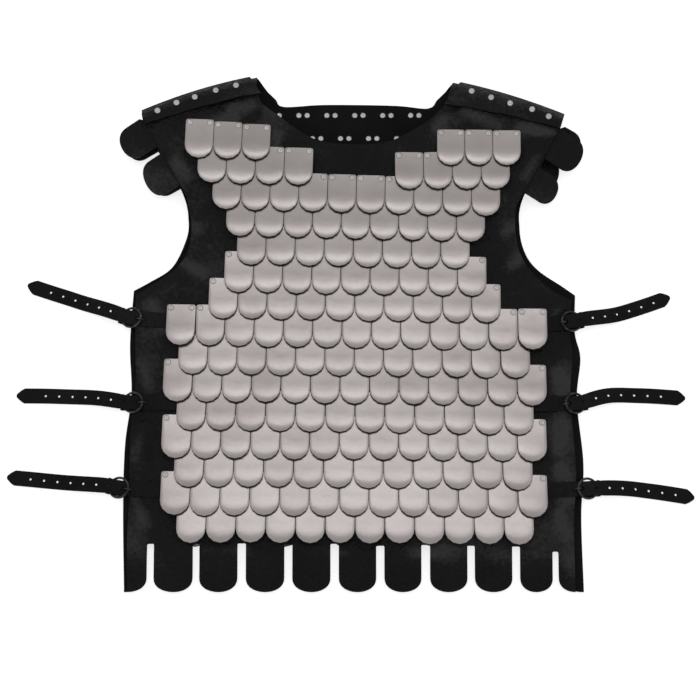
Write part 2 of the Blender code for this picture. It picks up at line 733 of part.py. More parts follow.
def tube(path, radius, sides, closed):
    """Points and faces of a round bar along a path, each section square to it."""
    points, faces = [], []
    count = len(path)
    for k, point in enumerate(path):
        before = path[(k - 1) % count] if closed or k else point
        after = path[(k + 1) % count] if closed or k < count - 1 else point
        way = [after[i] - before[i] for i in range(3)]
        size = math.hypot(*way)
        way = [value / size for value in way]
        flat = math.hypot(way[0], way[1])
        across = (-way[1] / flat, way[0] / flat, 0.0)
        up = (way[1] * across[2] - way[2] * across[1], way[2] * across[0] - way[0] * across[2],
              way[0] * across[1] - way[1] * across[0])
        for s in range(sides):
            angle = 2 * math.pi * s / sides
            points.append(tuple(point[i] + radius * (math.cos(angle) * across[i] + math.sin(angle) * up[i])
                                for i in range(3)))
    for k in range(count if closed else count - 1):
        for s in range(sides):
            a, b = k * sides + s, k * sides + (s + 1) % sides
            c, d = ((k + 1) % count) * sides + (s + 1) % sides, ((k + 1) % count) * sides + s
            faces.append((a, b, c, d))
    if not closed:
        faces.append(tuple(range(sides))[::-1])
        faces.append(tuple((count - 1) * sides + s for s in range(sides)))
    return points, faces


def buckle(run):
    """Round wire buckle with its prong through the first hole and its tip on the front wire."""
    ahead, across, heel, front = buckle_frame(run)
    path = []
    for k in range(14):
        angle = 2 * math.pi * k / 14
        out, side = RING_RADIUS * math.cos(angle), RING_RADIUS * math.sin(angle)
        path.append((run.buckle[0] + ahead[0] * out + across[0] * side,
                     run.buckle[1] + ahead[1] * out + across[1] * side,
                     (heel + front) / 2 + (heel - front) / 2 * math.cos(angle)))
    ring = solid(f"buckle_{run.name}", *tube(path, WIRE_RADIUS, 5, True), "dark_buckle")
    hole = math.dist(run.buckle, run.hole)
    steps = ((RING_RADIUS, heel), (hole + 0.3, run.height + 0.5), (hole - 2.2, run.height + STRAP + 1.6),
             (-RING_RADIUS + 1, front + WIRE_RADIUS + 0.9), (-RING_RADIUS - 3.5, front + 1.6))
    prong_path = [(run.buckle[0] + ahead[0] * out, run.buckle[1] + ahead[1] * out, z) for out, z in steps]
    prong = solid(f"prong_{run.name}", *tube(prong_path, PRONG_RADIUS, 5, False), "dark_buckle")
    prong.hide_render = True
    prong.display_type = "WIRE"
    union = ring.modifiers.new("prong", "BOOLEAN")
    union.operation = "UNION"
    union.solver = "EXACT"
    union.object = prong


def chape(run):
    """Leather loop from under the back panel round the buckle's heel, with a slot for the prong."""
    ahead, across, heel, _ = buckle_frame(run)
    near, far = WIRE_RADIUS + SEAM, WIRE_RADIUS + SEAM + STRAP
    profile = [((-24.0, STRAP), (-24.0, 0.0)), ((8.0, STRAP), (8.6, 0.0))]
    for angle in (-100, -52, -4, 44, 92):
        turn = math.radians(angle)
        profile.append(((RING_RADIUS + near * math.cos(turn), max(STRAP + 0.1, heel + near * math.sin(turn))),
                        (RING_RADIUS + far * math.cos(turn), max(0.0, heel + far * math.sin(turn)))))
    rows = ([], [])
    for section in profile:
        for which, (out, z) in enumerate(section):
            rows[which].append([(run.buckle[0] + ahead[0] * out + across[0] * side,
                                 run.buckle[1] + ahead[1] * out + across[1] * side, z)
                                for side in (-CHAPE_WIDTH / 2, -CHAPE_SLOT / 2, CHAPE_SLOT / 2, CHAPE_WIDTH / 2)])
    missing = [(i, 1) for i in range(4, len(profile) - 1)]
    blocks(f"chape_{run.name}", rows[0], rows[1], "black_leather", missing)


def centre_on_origin():
    """Moves everything so that the middle of its box is over the origin and its lowest point at zero."""
    made = [item for item in bpy.context.scene.objects if item.type == "MESH"]
    seen = [vertex.co for item in made for vertex in item.data.vertices]
    middle = [(min(point[i] for point in seen) + max(point[i] for point in seen)) / 2 for i in (0, 1)]
    floor = min(point[2] for point in seen)
    for item in made:
        for vertex in item.data.vertices:
            vertex.co.x -= middle[0]
            vertex.co.y -= middle[1]
            vertex.co.z -= floor


def main():
    for item in list(bpy.data.objects):
        bpy.data.objects.remove(item, do_unlink=True)
    front_panel()
    back_panel()
    for fold in (LEFT_FOLD, RIGHT_FOLD):
        shoulder_strip(fold)
    for pair in TABS:
        shoulder_tabs(pair)
    for row in FRONT_ROWS:
        front_row(row)
    for number, count in enumerate(BACK_COUNTS):
        back_row(number, count)
    for run in STRAPS:
        strap(run)
        buckle(run)
        chape(run)
    centre_on_origin()


main()
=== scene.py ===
"""Looks of the scale armour: black leather with steel scales, laid flat with its front up.

Sizes are in millimetres on the floor sheet until each mesh is made: x runs to the
right, y toward the neck and z up. The forms follow the same formulas as the solids,
with soft bends, creases, single scales, rivets, strap holes and finishes; the
finishes paint sheen onto the front's leather and shade onto the plates' ends.
"""

import math
from collections import namedtuple

import bpy
import numpy as np
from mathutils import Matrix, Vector
from mathutils.geometry import delaunay_2d_cdt


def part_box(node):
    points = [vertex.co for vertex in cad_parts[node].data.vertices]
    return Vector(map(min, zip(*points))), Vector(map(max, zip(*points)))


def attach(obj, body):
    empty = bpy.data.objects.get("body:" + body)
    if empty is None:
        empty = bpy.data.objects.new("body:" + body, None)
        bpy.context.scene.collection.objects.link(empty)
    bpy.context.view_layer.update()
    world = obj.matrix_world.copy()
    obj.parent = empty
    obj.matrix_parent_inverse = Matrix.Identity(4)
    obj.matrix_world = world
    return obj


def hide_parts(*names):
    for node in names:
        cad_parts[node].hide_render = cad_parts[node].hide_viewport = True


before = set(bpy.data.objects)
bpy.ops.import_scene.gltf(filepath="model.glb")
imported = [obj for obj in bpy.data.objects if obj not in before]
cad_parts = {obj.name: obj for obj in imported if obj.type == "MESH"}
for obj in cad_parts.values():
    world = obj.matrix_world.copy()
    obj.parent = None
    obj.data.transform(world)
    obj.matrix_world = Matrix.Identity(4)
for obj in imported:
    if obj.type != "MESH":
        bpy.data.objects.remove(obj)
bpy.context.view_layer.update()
MM = 0.001

# Thicknesses and gaps
LEATHER = 2.5
STRIP = 2.2
STRAP = 2.0
STEEL = 1.2
SEAM = 0.3
FOLD_GAP = STRIP + 0.8

# Scales
SCALE_WIDTH = 38.1
SCALE_GAP = 0.7
SCALE_LENGTH = 55.2
SCALE_STRAIGHT = 36.2
SCALE_CORNER = 3.0
SCALE_TILT = 0.09
SCALE_CUP = 0.8
SCALE_ROLL = 1.5
END_LIFT = 3.0

# Places on a scale at which it rests: down from its top, and to each side of its middle
REST_TOP = 6.0
REST_MIDDLE = 28.0
REST_END = 51.0
REST_SIDE = 14.0

# Rows of the back's scales
BACK_PITCH = 38.9
BACK_STEP = 38.4
BACK_MIDDLE = 12.2
BACK_CREASE = 37.5
BACK_RISE = 3.3
BACK_TOP = 333.7
BACK_COUNTS = (8, 11, 10, 9, 8, 9, 10, 13, 12, 13, 12, 13, 12, 13, 12)

# Rivets of the scales and the shoulder strips: head, and place from the plate's side and top
RIVET_RADIUS = 4.1
RIVET_HEIGHT = 1.5
RIVET_IN = 5.3
RIVET_DOWN = 4.6

# Section of a rivet's head, as shares of its radius and height, from the rim in to the dimple
RIVET_SECTION = np.array(((1.0, -0.2), (1.0, 0.4), (0.86, 0.74), (0.6, 0.94), (0.32, 1.0), (0.17, 0.72),
                          (0.0, 0.66)))

# Heights of the panels
BACK_RIM = 2.3
BACK_SWELL = 2.5
FRONT_RIM = BACK_RIM + 2 * LEATHER + SEAM
FRONT_SWELL = 4.9
CENTRE_X = 8.0
RAMP = 35.0
HEM_Y = -261.0
BEND_Y = -10.0
NECK_HALF = 120.0
CROWN = 36.0
BACK_LEG = 22.0
BACK_LEVEL = 32.0
HALF_WIDTHS = np.array(((74.0, 255.5), (104.0, 203.5), (190.0, 203.5), (240.0, 320.0)))

# Where the scales cover the front: half width less this, top of the rows, and the bare leather under the neck
ROWS_IN = 14.0
ROWS_TOP = 318.0
BARE_Y = 226.0
BARE_HALF = 62.0
BARE_MIDDLE = 4.0

# Shoulder folds
Fold = namedtuple("Fold", "side neck outer bow leg outer_leg slant curl")
LEFT_FOLD = Fold(-1, (-128.0, 381.5), (-284.0, 330.5), 5.0, 35.5, 27.0, 7.0, 8.0)
RIGHT_FOLD = Fold(1, (142.0, 374.0), (292.0, 325.0), 4.0, 43.5, 28.0, 12.0, 3.0)
STRIP_START = 11.0
FOLD_RADIUS_NECK = 19.0
FOLD_RADIUS_OUTER = 21.0

# Front rows: name, count, left end x and bottom y, right end x and bottom y, length of the first
# and of the last scale
FrontRow = namedtuple("FrontRow", "name count left_x left_y right_x right_y left_length right_length")
FRONT_ROWS = (
    FrontRow("front_scales_01_left", 3, -222.8, 258.0, -108.5, 255.3, 55.9, 51.5),
    FrontRow("front_scales_01_right", 3, 117.0, 248.4, 229.0, 246.2, 51.7, 50.6),
    FrontRow("front_scales_02_left", 4, -205.4, 224.0, -51.0, 219.8, 54.6, 53.8),
    FrontRow("front_scales_02_right", 4, 60.8, 214.8, 214.6, 215.0, 53.2, 53.2),
    FrontRow("front_scales_03", 10, -185.2, 187.2, 200.5, 177.6, 55.6, 53.0),
    FrontRow("front_scales_04", 9, -166.3, 151.3, 179.8, 142.6, 55.2, 55.2),
    FrontRow("front_scales_05", 8, -151.4, 112.3, 159.2, 106.6, 55.2, 55.2),
    FrontRow("front_scales_06", 9, -167.9, 75.3, 181.2, 69.4, 57.5, 55.0),
    FrontRow("front_scales_07", 10, -188.4, 39.7, 199.8, 33.3, 56.8, 53.6),
    FrontRow("front_scales_08", 13, -244.2, 3.7, 260.9, -3.4, 56.7, 56.9),
    FrontRow("front_scales_09", 12, -227.3, -34.6, 237.7, -40.1, 56.0, 56.0),
    FrontRow("front_scales_10", 13, -247.0, -70.9, 258.7, -77.4, 59.0, 56.5),
    FrontRow("front_scales_11", 12, -228.5, -108.7, 240.6, -116.2, 56.0, 56.0),
    FrontRow("front_scales_12", 13, -247.0, -146.1, 257.2, -151.0, 59.2, 57.4),
    FrontRow("front_scales_13", 12, -229.6, -183.4, 237.7, -187.3, 56.0, 56.0),
    FrontRow("front_scales_14", 13, -246.8, -220.2, 256.7, -223.6, 58.1, 56.7),
    FrontRow("front_scales_15", 12, -225.0, -255.8, 237.7, -258.3, 56.0, 56.0),
)

# Hem slots: middle x, width, top y
SLOTS = np.array((
    (-258.5, 9.2, -255.5), (-199.2, 8.7, -255.5), (-140.2, 10.9, -255.0), (-79.8, 10.4, -256.5),
    (-19.9, 10.8, -255.5), (39.2, 10.6, -258.0), (98.0, 11.3, -257.0), (156.7, 9.7, -258.0),
    (215.0, 10.3, -259.0), (266.0, 7.9, -265.6),
))
HEM_BOTTOM = -317.5
HEM_ROUND = 19.0
SLOT_CORNER = 2.2

# Edges in plan, each from the hem's left corner round by the right
FRONT_RIGHT_SIDE = ((291.0, -315.0), (291.6, -226.0), (296.3, -160.0), (291.4, -66.0), (295.6, -9.5),
                    (293.0, 25.0), (295.4, 66.8))
FRONT_RIGHT_ARM = ((295.4, 66.8), (270.5, 79.8), (243.8, 104.7), (227.8, 129.8), (221.8, 160.0),
                   (223.4, 191.2), (232.6, 211.0), (284.6, 302.0))
FRONT_NECK = ((129.6, 336.0), (107.2, 313.9), (75.8, 294.6), (50.1, 283.3), (9.5, 279.7),
              (-33.8, 283.3), (-62.7, 294.9), (-103.9, 324.9), (-120.8, 339.0), (-125.3, 353.2))
FRONT_LEFT_ARM = ((-279.8, 310.8), (-227.0, 220.5), (-216.7, 194.0), (-212.6, 165.0), (-217.8, 132.5),
                  (-232.6, 110.9), (-258.0, 92.0), (-286.1, 75.0))
FRONT_LEFT_SIDE = ((-286.1, 75.0), (-286.0, 6.8), (-284.2, -47.2), (-289.0, -100.0), (-288.6, -199.1),
                   (-289.6, -251.0), (-287.6, -315.0))
BACK_RIGHT_SIDE = ((302.2, -314.0), (301.7, -220.0), (306.6, -150.0), (300.4, -67.0), (306.8, -10.0),
                   (300.4, 24.5), (302.2, 76.0))
BACK_RIGHT_ARM = ((302.2, 76.0), (284.8, 88.6), (253.6, 110.6), (236.6, 134.0), (229.6, 168.0),
                  (235.8, 212.9), (284.6, 302.0))
BACK_NECK = ((130.9, 363.5), (119.8, 351.8), (107.3, 339.4), (60.0, 343.4), (-33.0, 344.6),
             (-90.8, 341.7), (-101.9, 351.8), (-113.0, 363.5))
BACK_LEFT_ARM = ((-279.8, 310.8), (-229.5, 222.5), (-218.6, 176.0), (-224.1, 145.5), (-240.6, 113.6),
                 (-269.0, 94.4), (-290.4, 82.4))
BACK_LEFT_SIDE = ((-290.4, 82.4), (-293.4, 8.2), (-289.6, -60.0), (-296.2, -126.1), (-296.3, -210.2),
                  (-292.1, -314.0))

# Shoulder tabs, two cut in one piece
Tab = namedtuple("Tab", "start width reach")
TabPair = namedtuple("TabPair", "name side on_front upper lower trim")
TABS = (
    TabPair("front_tabs_left", -1, True, Tab(-414.5, 44.5, 43.5), Tab(-358.5, 49.5, 39.0), 19.0),
    TabPair("back_tabs_left", -1, False, Tab(-414.0, 43.5, 39.0), Tab(-357.5, 48.5, 34.0), 19.0),
    TabPair("front_tabs_right", 1, True, Tab(-402.5, 46.5, 45.0), Tab(-342.0, 39.5, 39.5), 5.0),
    TabPair("back_tabs_right", 1, False, Tab(-417.5, 48.0, 36.5), Tab(-367.5, 60.0, 31.0), 19.0),
)
TAB_ROUND = 20.0
TAB_ROOT = 13.0
TAB_DROP = 11.0
BACK_TAB_DROP = 5.0
SHOULDER_EDGE = {-1: 86.4, 1: 96.0}

# Straps: start on the front, buckle middle, first hole, mid tail, end of tail, height at the buckle
StrapRun = namedtuple("StrapRun", "name side start buckle hole middle end height")
STRAPS = (
    StrapRun("top_left", -1, (-235.2, 37.6), (-290.7, 43.2), (-302.4, 46.2), (-350.5, 63.4),
             (-433.4, 90.9), 15.4),
    StrapRun("middle_left", -1, (-229.3, -71.6), (-286.4, -70.2), (-298.4, -69.6), (-350.3, -62.2),
             (-442.3, -60.0), 10.2),
    StrapRun("bottom_left", -1, (-247.6, -186.5), (-301.7, -182.9), (-313.9, -180.5), (-369.8, -175.8),
             (-450.2, -168.4), 10.2),
    StrapRun("top_right", 1, (252.0, 32.0), (294.4, 38.2), (305.8, 40.2), (356.7, 49.8),
             (429.6, 74.0), 15.4),
    StrapRun("middle_right", 1, (242.3, -73.2), (297.2, -71.2), (308.0, -69.7), (354.6, -59.4),
             (444.6, -63.4), 10.2),
    StrapRun("bottom_right", 1, (258.3, -186.5), (310.4, -184.0), (321.3, -183.5), (374.9, -184.4),
             (450.9, -195.6), 10.2),
)
STRAP_WIDTH = 20.0
PINCH = 19.0
HOLE_PITCH = 17.6
HOLE_RADIUS = 1.5
HOLE_COUNT = 7
PRONG_HOLE = 2.6
STRAP_LEAVES = 20.0
STRAP_TO_FLOOR = 62.0
STRAP_CLIMBS = 36.0
TIP_LENGTH = 9.5
TIP_HALF = 1.8
RING_RADIUS = 13.0
WIRE_RADIUS = 1.5
PRONG_RADIUS = 1.1
CHAPE_WIDTH = 21.0
CHAPE_SLOT = 5.0
CHAPE_IN = -24.0
CHAPE_TURNS_UP = 8.0

# Rivets along the shoulder strips, and the inner ends of the back's rivets that show at the neck: the
# middle x, the y and the number of pairs of each row
STRIP_RIVETS = ((-260.1, 323.9), (-234.7, 335.4), (-210.2, 343.7), (-182.1, 353.5), (-154.8, 360.9),
                (164.9, 352.6), (191.1, 343.3), (216.6, 334.7), (246.0, 325.9), (268.1, 315.5))
NECK_RIVETS = ((12.2, 329.1, 7), (-7.3, 295.9, 8))
NECK_PITCH = 38.4
NECK_PAIR = 5.7
NECK_RIVET_RADIUS = 3.9
NECK_RIVET_HEIGHT = 1.1

# Creases worked into the leather: two ends, half width and height of each ridge or trough
FRONT_CREASES = (
    (-268, 70, -246, 20, 9, 1.7), (-280, -10, -262, -62, 8, 1.3), (-270, -95, -285, -150, 10, 1.9),
    (-262, -120, -266, -175, 6, -0.9), (-284, -190, -262, -236, 9, 1.6), (281, 60, 262, 30, 8, 1.7),
    (270, -20, 288, -70, 10, 1.9), (286, -90, 268, -140, 8, 1.4), (274, -150, 290, -205, 9, 2.0),
    (268, -210, 284, -255, 7, 1.3), (-230, 120, -190, 100, 9, 1.9), (-222, 175, -196, 160, 8, 1.4),
    (-212, 228, -240, 262, 10, 1.9), (-150, 322, -215, 296, 9, 2.3), (-128, 336, -168, 330, 7, 2.0),
    (-118, 326, -150, 306, 6, -1.4), (-96, 300, -104, 268, 8, 1.4), (-60, 276, -20, 262, 8, 1.3),
    (40, 268, 78, 274, 9, 1.3), (110, 298, 134, 322, 8, 1.7), (150, 330, 206, 300, 10, 2.2),
    (232, 226, 258, 270, 9, 1.9), (226, 176, 202, 150, 8, 1.4), (236, 128, 206, 104, 9, 1.9),
    (226, 303, 282, 292, 7, 1.9), (-60, -262, 10, -268, 7, 0.9), (60, -268, 150, -264, 7, 0.9),
    (-220, -262, -120, -266, 7, 1.0),
)
BACK_CREASES = (
    (-60, 338, -20, 312, 9, 0.9), (10, 334, 40, 308, 9, 0.8), (70, 336, 92, 316, 8, 0.9),
    (-262, 60, -284, 10, 9, 0.5), (296, 0, 282, -60, 9, 0.5), (292, -150, 300, -220, 9, 0.5),
    (-120, -290, -60, -284, 8, 0.5), (60, -286, 130, -292, 8, 0.5), (0, 120, 60, 60, 16, 0.7),
    (-120, 60, -60, 10, 16, 0.7), (90, -60, 150, -120, 16, 0.7), (-90, -120, -30, -170, 16, 0.7),
)

# Sheen patches painted onto the front, lighter where the leather would catch the light: middle x and y, half
# width, half height, amount
SHEEN_PATCHES = (
    (-225, 288, 38, 26, 0.6), (250, 297, 45, 12, 0.8), (222, 128, 26, 34, 0.5), (205, 190, 14, 40, 0.3),
    (280, -60, 14, 60, 0.4), (276, -170, 16, 80, 0.6), (288, -290, 12, 40, 0.9), (-272, 20, 16, 40, 0.15),
    (-270, -250, 30, 40, 0.2), (-110, -292, 22, 18, 0.5), (-228, -290, 30, 30, 0.3), (240, 80, 40, 18, 0.4),
    (-180, 140, 20, 60, 0.2), (90, -272, 16, 10, 0.5), (-20, -272, 16, 10, 0.4), (190, -272, 16, 10, 0.5),
)

# Lift of each of the hem's tabs, and the x of the hem's two corners
TAB_LIFTS = (0.6, 0.9, 1.5, 0.7, 1.2, 0.5, 1.6, 0.8, 1.1, 0.6, 0.8)
HEM_CORNERS = (-290.0, 295.0)

# Camera: place and aim in metres, lens and film width in millimetres
CAMERA_PLACE = (0.0, -0.3885, 1.9739)
CAMERA_AIM = (0.0, 0.0, 0.012)
LENS = 77.45
SENSOR = 36.0

# Floor and light: each soft light has a name, a place and a size in metres, and its watts
FLOOR_HALF = 6.0
FLOOR_DROP = 0.0004
FLOOR_GLOW = 0.7
ROOM_LIGHT = 0.415
SOFT_LIGHTS = (
    ("overhead", (0.0, 0.43, 1.8), (1.5, 0.66), 2.7),
    ("side_left", (-1.15, 0.0, 1.7), (0.3, 1.3), 0.5),
    ("side_right", (1.15, 0.0, 1.7), (0.3, 1.3), 0.5),
)


# Place of the sheet in the frame

def sheet_offset():
    """Offset in mm from sheet to frame, by the middle left strap's end in x and the front's hem in y."""
    low_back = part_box("strap_middle_left")[0].x / MM
    ends = strap_edges(STRAPS[1])[0]
    low_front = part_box("front_panel")[0].y / MM
    return np.array((low_back - ends[:, 0].min(), low_front - HEM_BOTTOM, 0.0))


def to_frame(points):
    """Metres in the frame from sheet millimetres: (point + offset) / 1000."""
    return (np.asarray(points, float) + OFFSET) * MM


# Small formulas

def clamp(value):
    """The value held between 0 and 1."""
    return np.clip(value, 0.0, 1.0)


def smooth(value):
    """3 t^2 - 2 t^3 with t held between 0 and 1."""
    t = clamp(value)
    return t * t * (3 - 2 * t)


def soft_step(t, ease):
    """A ramp from 0 to 1 whose two corners are rounded: (sqrt(t^2+e^2) - sqrt((t-1)^2+e^2) + 1) / 2."""
    return 0.5 * (np.sqrt(t * t + ease * ease) - np.sqrt((t - 1) ** 2 + ease * ease) + 1)


def unit(a, b):
    """Vector of length 1 from a toward b."""
    step = np.subtract(b, a)
    return step / np.hypot(*step)


def creases(x, y, table):
    """Sum over lines of height * exp(-(d / width)^2) * sin(pi s)^0.7, d being the distance off the line."""
    total = np.zeros(np.shape(x))
    for ax, ay, bx, by, width, height in table:
        dx, dy = bx - ax, by - ay
        length = math.hypot(dx, dy)
        s = ((x - ax) * dx + (y - ay) * dy) / length ** 2
        away = ((x - ax) * dy - (y - ay) * dx) / length
        along = np.sin(np.pi * clamp(0.5 + (s - 0.5) / 1.3)) ** 0.7
        total += height * np.exp(-(away / width) ** 2) * along * smooth((1.15 - abs(2 * s - 1)) / 0.3)
    return total


# Height of the panels

def of_fold(x, pick):
    """A value of the left fold where x is below zero, and of the right fold elsewhere."""
    return np.where(np.asarray(x) < 0, pick(LEFT_FOLD), pick(RIGHT_FOLD))


def fold_axes(fold):
    """Unit vectors along the fold, away from the neck, and into the garment."""
    outward = unit(fold.neck, fold.outer)
    return outward, np.array((fold.side * outward[1], -fold.side * outward[0]))


def one_fold_y(fold, x):
    """Edge of one fold: a straight line plus 4 bow t (1 - t)."""
    t = (x - fold.neck[0]) / (fold.outer[0] - fold.neck[0])
    return fold.neck[1] + t * (fold.outer[1] - fold.neck[1]) + 4 * fold.bow * clamp(t) * (1 - clamp(t))


def fold_y(x):
    """Edge of the fold on the side that x is on."""
    return np.where(x < 0, one_fold_y(LEFT_FOLD, x), one_fold_y(RIGHT_FOLD, x))


def fold_cos(x):
    """Cosine of the angle between the fold and the x axis."""
    return of_fold(x, lambda fold: abs(fold_axes(fold)[0][0]))


def fold_distance(x, y):
    """Distance from the fold's edge into the garment: (edge y - y) * cosine."""
    return (fold_y(x) - y) * fold_cos(x)


def fold_radius(x):
    """Outer radius of the fold, going evenly from the neck's to the outer end's."""
    t = clamp((abs(x) - 130.0) / 160.0)
    return FOLD_RADIUS_NECK + (FOLD_RADIUS_OUTER - FOLD_RADIUS_NECK) * t


def field(x, y):
    """One over the scales, falling to zero at the rim, with soft corners."""
    half = np.interp(y, HALF_WIDTHS[:, 0], HALF_WIDTHS[:, 1])
    side = (half + RAMP - abs(x - CENTRE_X)) / RAMP
    hem = (y - HEM_Y + RAMP) / RAMP
    return clamp(soft_step(np.minimum(side, hem), 0.1))


def crown_y(x):
    """Where the front is highest: the fold's edge less CROWN, and a straight line between the shoulders."""
    left = one_fold_y(LEFT_FOLD, -NECK_HALF) - CROWN / abs(fold_axes(LEFT_FOLD)[0][0])
    right = one_fold_y(RIGHT_FOLD, NECK_HALF) - CROWN / abs(fold_axes(RIGHT_FOLD)[0][0])
    middle = left + (right - left) * (x + NECK_HALF) / (2 * NECK_HALF)
    return np.where(abs(x) < NECK_HALF, middle, fold_y(x) - CROWN / fold_cos(x))


def front_top(x, y):
    """Upper face of the front: rim + swell * field + rise * ramp((y - bend) / (crown - bend))."""
    t = (y - BEND_Y) / (crown_y(x) - BEND_Y)
    rise = 2 * fold_radius(x) - FOLD_GAP - FRONT_RIM - FRONT_SWELL
    return FRONT_RIM + FRONT_SWELL * field(x, y) + soft_step(t, 0.03) * rise


def back_low(x, y):
    """Lower face of the back: over its scales, and lower on the leg of the shoulder strip."""
    plain = BACK_RIM + BACK_SWELL * field(x, y)
    away = clamp((fold_distance(x, y) - BACK_LEG - 0.5) / (BACK_LEVEL - BACK_LEG - 0.5))
    return FOLD_GAP + (plain - FOLD_GAP) * away


def on_scales(x, y):
    """One where the front's rows of scales lie, zero 12 mm beyond them."""
    half = np.interp(y, HALF_WIDTHS[:, 0], HALF_WIDTHS[:, 1] - ROWS_IN)
    inside_rows = smooth((half + 6.0 - abs(x - CENTRE_X)) / 12.0) * smooth((y - HEM_Y - 4.0) / 12.0)
    bare = smooth((y - BARE_Y) / 16.0) * smooth((BARE_HALF - abs(x - BARE_MIDDLE)) / 12.0)
    return inside_rows * (1 - bare) * smooth((ROWS_TOP - y) / 12.0)


def hem_lift(x, y):
    """Lift of the hem's tabs toward their ends, a different one for each: lift * s^2."""
    middles = np.concatenate((HEM_CORNERS[:1], SLOTS[:, 0], HEM_CORNERS[1:]))
    which = np.clip(np.searchsorted(middles, x) - 1, 0, len(TAB_LIFTS) - 1)
    along = clamp((HEM_Y + 4.0 - y) / (HEM_Y + 4.0 - HEM_BOTTOM))
    roll = (x - (middles[which] + middles[which + 1]) / 2) / 30.0
    lifts = np.array(TAB_LIFTS)[which]
    return along ** 2 * lifts * (1 + 0.5 * roll * np.where(which % 2, 1, -1))


def front_lie(x, y):
    """Height that creases and lifted hem tabs add to the front's leather."""
    rim = smooth(fold_distance(x, y) / 40.0)
    return (creases(x, y, FRONT_CREASES) * (1 - on_scales(x, y)) + hem_lift(x, y)) * rim


def back_lie(x, y):
    """Height that creases add to the back's leather, fading to none at the fold."""
    rim = smooth((fold_distance(x, y) - 20.0) / 20.0)
    return creases(x, y, BACK_CREASES) * rim * 0.6


def on_panel(x, y, depth, front):
    """Point of a panel at plan x, y and a depth in from its outer face.

    It lies flat, and goes round the fold as radius - arm * sin(turn) in plan and
    radius + arm * cos(turn) in height, or radius - arm * cos(turn) for the back.
    """
    radius = fold_radius(x)
    distance = fold_distance(x, y)
    if front:
        flat_z = front_top(x, y) + front_lie(x, y) - depth
    else:
        flat_z = back_low(x, y) + back_lie(x, y) + depth
    turn = np.maximum(0.0, (radius - distance) / (radius - FOLD_GAP))
    arm = radius - FOLD_GAP - depth
    shift = np.where(distance < radius, radius - arm * np.sin(turn) - distance, 0.0)
    up = arm * np.cos(turn)
    inward_x = of_fold(x, lambda fold: fold_axes(fold)[1][0])
    inward_y = of_fold(x, lambda fold: fold_axes(fold)[1][1])
    z = np.where(distance < radius, radius + (up if front else -up), flat_z)
    return np.stack((x + inward_x * shift, y + inward_y * shift, z), axis=-1)


# Outlines in plan

def curve(points, step=4.0):
    """Points about a step apart on the Catmull-Rom curve through the given ones."""
    ends = np.array([points[0], *points, points[-1]])
    out = [ends[:1]]
    for a, b, c, d in zip(ends, ends[1:], ends[2:], ends[3:]):
        pieces = max(1, round(math.dist(b, c) / step))
        t = (np.arange(1, pieces + 1) / pieces)[:, None]
        out.append(0.5 * (2 * b + (c - a) * t + (2 * a - 5 * b + 4 * c - d) * t * t
                          + (3 * b - a - 3 * c + d) * t ** 3))
    return np.concatenate(out)


def straight(a, b, step):
    """Points about a step apart on the line from a to b."""
    pieces = max(1, round(math.dist(a, b) / step))
    t = (np.arange(pieces + 1) / pieces)[:, None]
    return np.array(a) * (1 - t) + np.array(b) * t


def fold_edge(fold, t, distance):
    """Plan points at shares t along the fold and distances into the garment from its edge."""
    x = fold.neck[0] + np.asarray(t) * (fold.outer[0] - fold.neck[0])
    inward = fold_axes(fold)[1]
    return np.stack((x + inward[0] * distance, one_fold_y(fold, x) + inward[1] * distance), axis=-1)


def fold_line(fold, pieces=36):
    """The panel's own edge in the fold, from the neck to the outer end."""
    t = np.arange(pieces + 1) / pieces
    radius = fold_radius(fold.neck[0] + t * (fold.outer[0] - fold.neck[0]))
    return fold_edge(fold, t, radius - (radius - FOLD_GAP) * math.pi / 2 + SEAM)


def hem_line(left, right, spare):
    """The hem's tabs from left to right: ends of HEM_ROUND sin(a)^0.8, and slots with rounded corners."""
    points = []
    starts = [left] + [x + width / 2 + spare for x, width, _ in SLOTS]
    ends = [x - width / 2 - spare for x, width, _ in SLOTS] + [right]
    angles = np.linspace(0, np.pi, 29)
    for k, (a, b) in enumerate(zip(starts, ends)):
        first = k == 0
        last = k == len(SLOTS)
        middle = a if first else b if last else (a + b) / 2
        half = (b - a) / (1 if first or last else 2)
        side = -np.cos(angles)
        keep = side >= -1e-6 if first else side <= 1e-6 if last else side > -2
        end = HEM_BOTTOM + HEM_ROUND - HEM_ROUND * np.sin(angles) ** 0.8
        lobe = np.stack((middle + half * side, end), axis=-1)
        points.append(lobe[keep])
        if last:
            continue
        x, width, top = SLOTS[k]
        half = width / 2 + spare
        points.append(straight((x - half, HEM_BOTTOM + HEM_ROUND + 4), (x - half, top - SLOT_CORNER), 5.0))
        arch = np.linspace(np.pi, 0, 10)[1:-1]
        inner = half - SLOT_CORNER
        points.append(np.stack((x + inner * np.sign(np.cos(arch)) + SLOT_CORNER * np.cos(arch),
                                top - SLOT_CORNER + SLOT_CORNER * np.sin(arch)), axis=-1))
        points.append(straight((x + half, top - SLOT_CORNER), (x + half, HEM_BOTTOM + HEM_ROUND + 4), 5.0))
    return np.concatenate(points)


def joined(*runs):
    """One loop of points, with repeats at the joins left out."""
    points = np.concatenate(runs)
    step = np.hypot(*(points - np.roll(points, 1, axis=0)).T)
    return points[step > 0.4]


def panel_outline(hem, right_side, right_arm, neck, left_arm, left_side):
    """Outline of a panel, counter-clockwise, as the leather is cut, with the folds opened flat."""
    right_edge = fold_line(RIGHT_FOLD)[::-1]
    left_edge = fold_line(LEFT_FOLD)
    return joined(
        hem,
        curve(right_side, 6.0)[1:],
        curve(right_arm)[1:],
        straight(right_arm[-1], right_edge[0], 4.0)[1:],
        right_edge[1:],
        straight(right_edge[-1], neck[0], 4.0)[1:],
        curve(neck)[1:],
        straight(neck[-1], left_edge[0], 4.0)[1:],
        left_edge[1:],
        straight(left_edge[-1], left_arm[0], 4.0)[1:],
        curve(left_arm)[1:],
        curve(left_side, 6.0)[1:-1],
    )


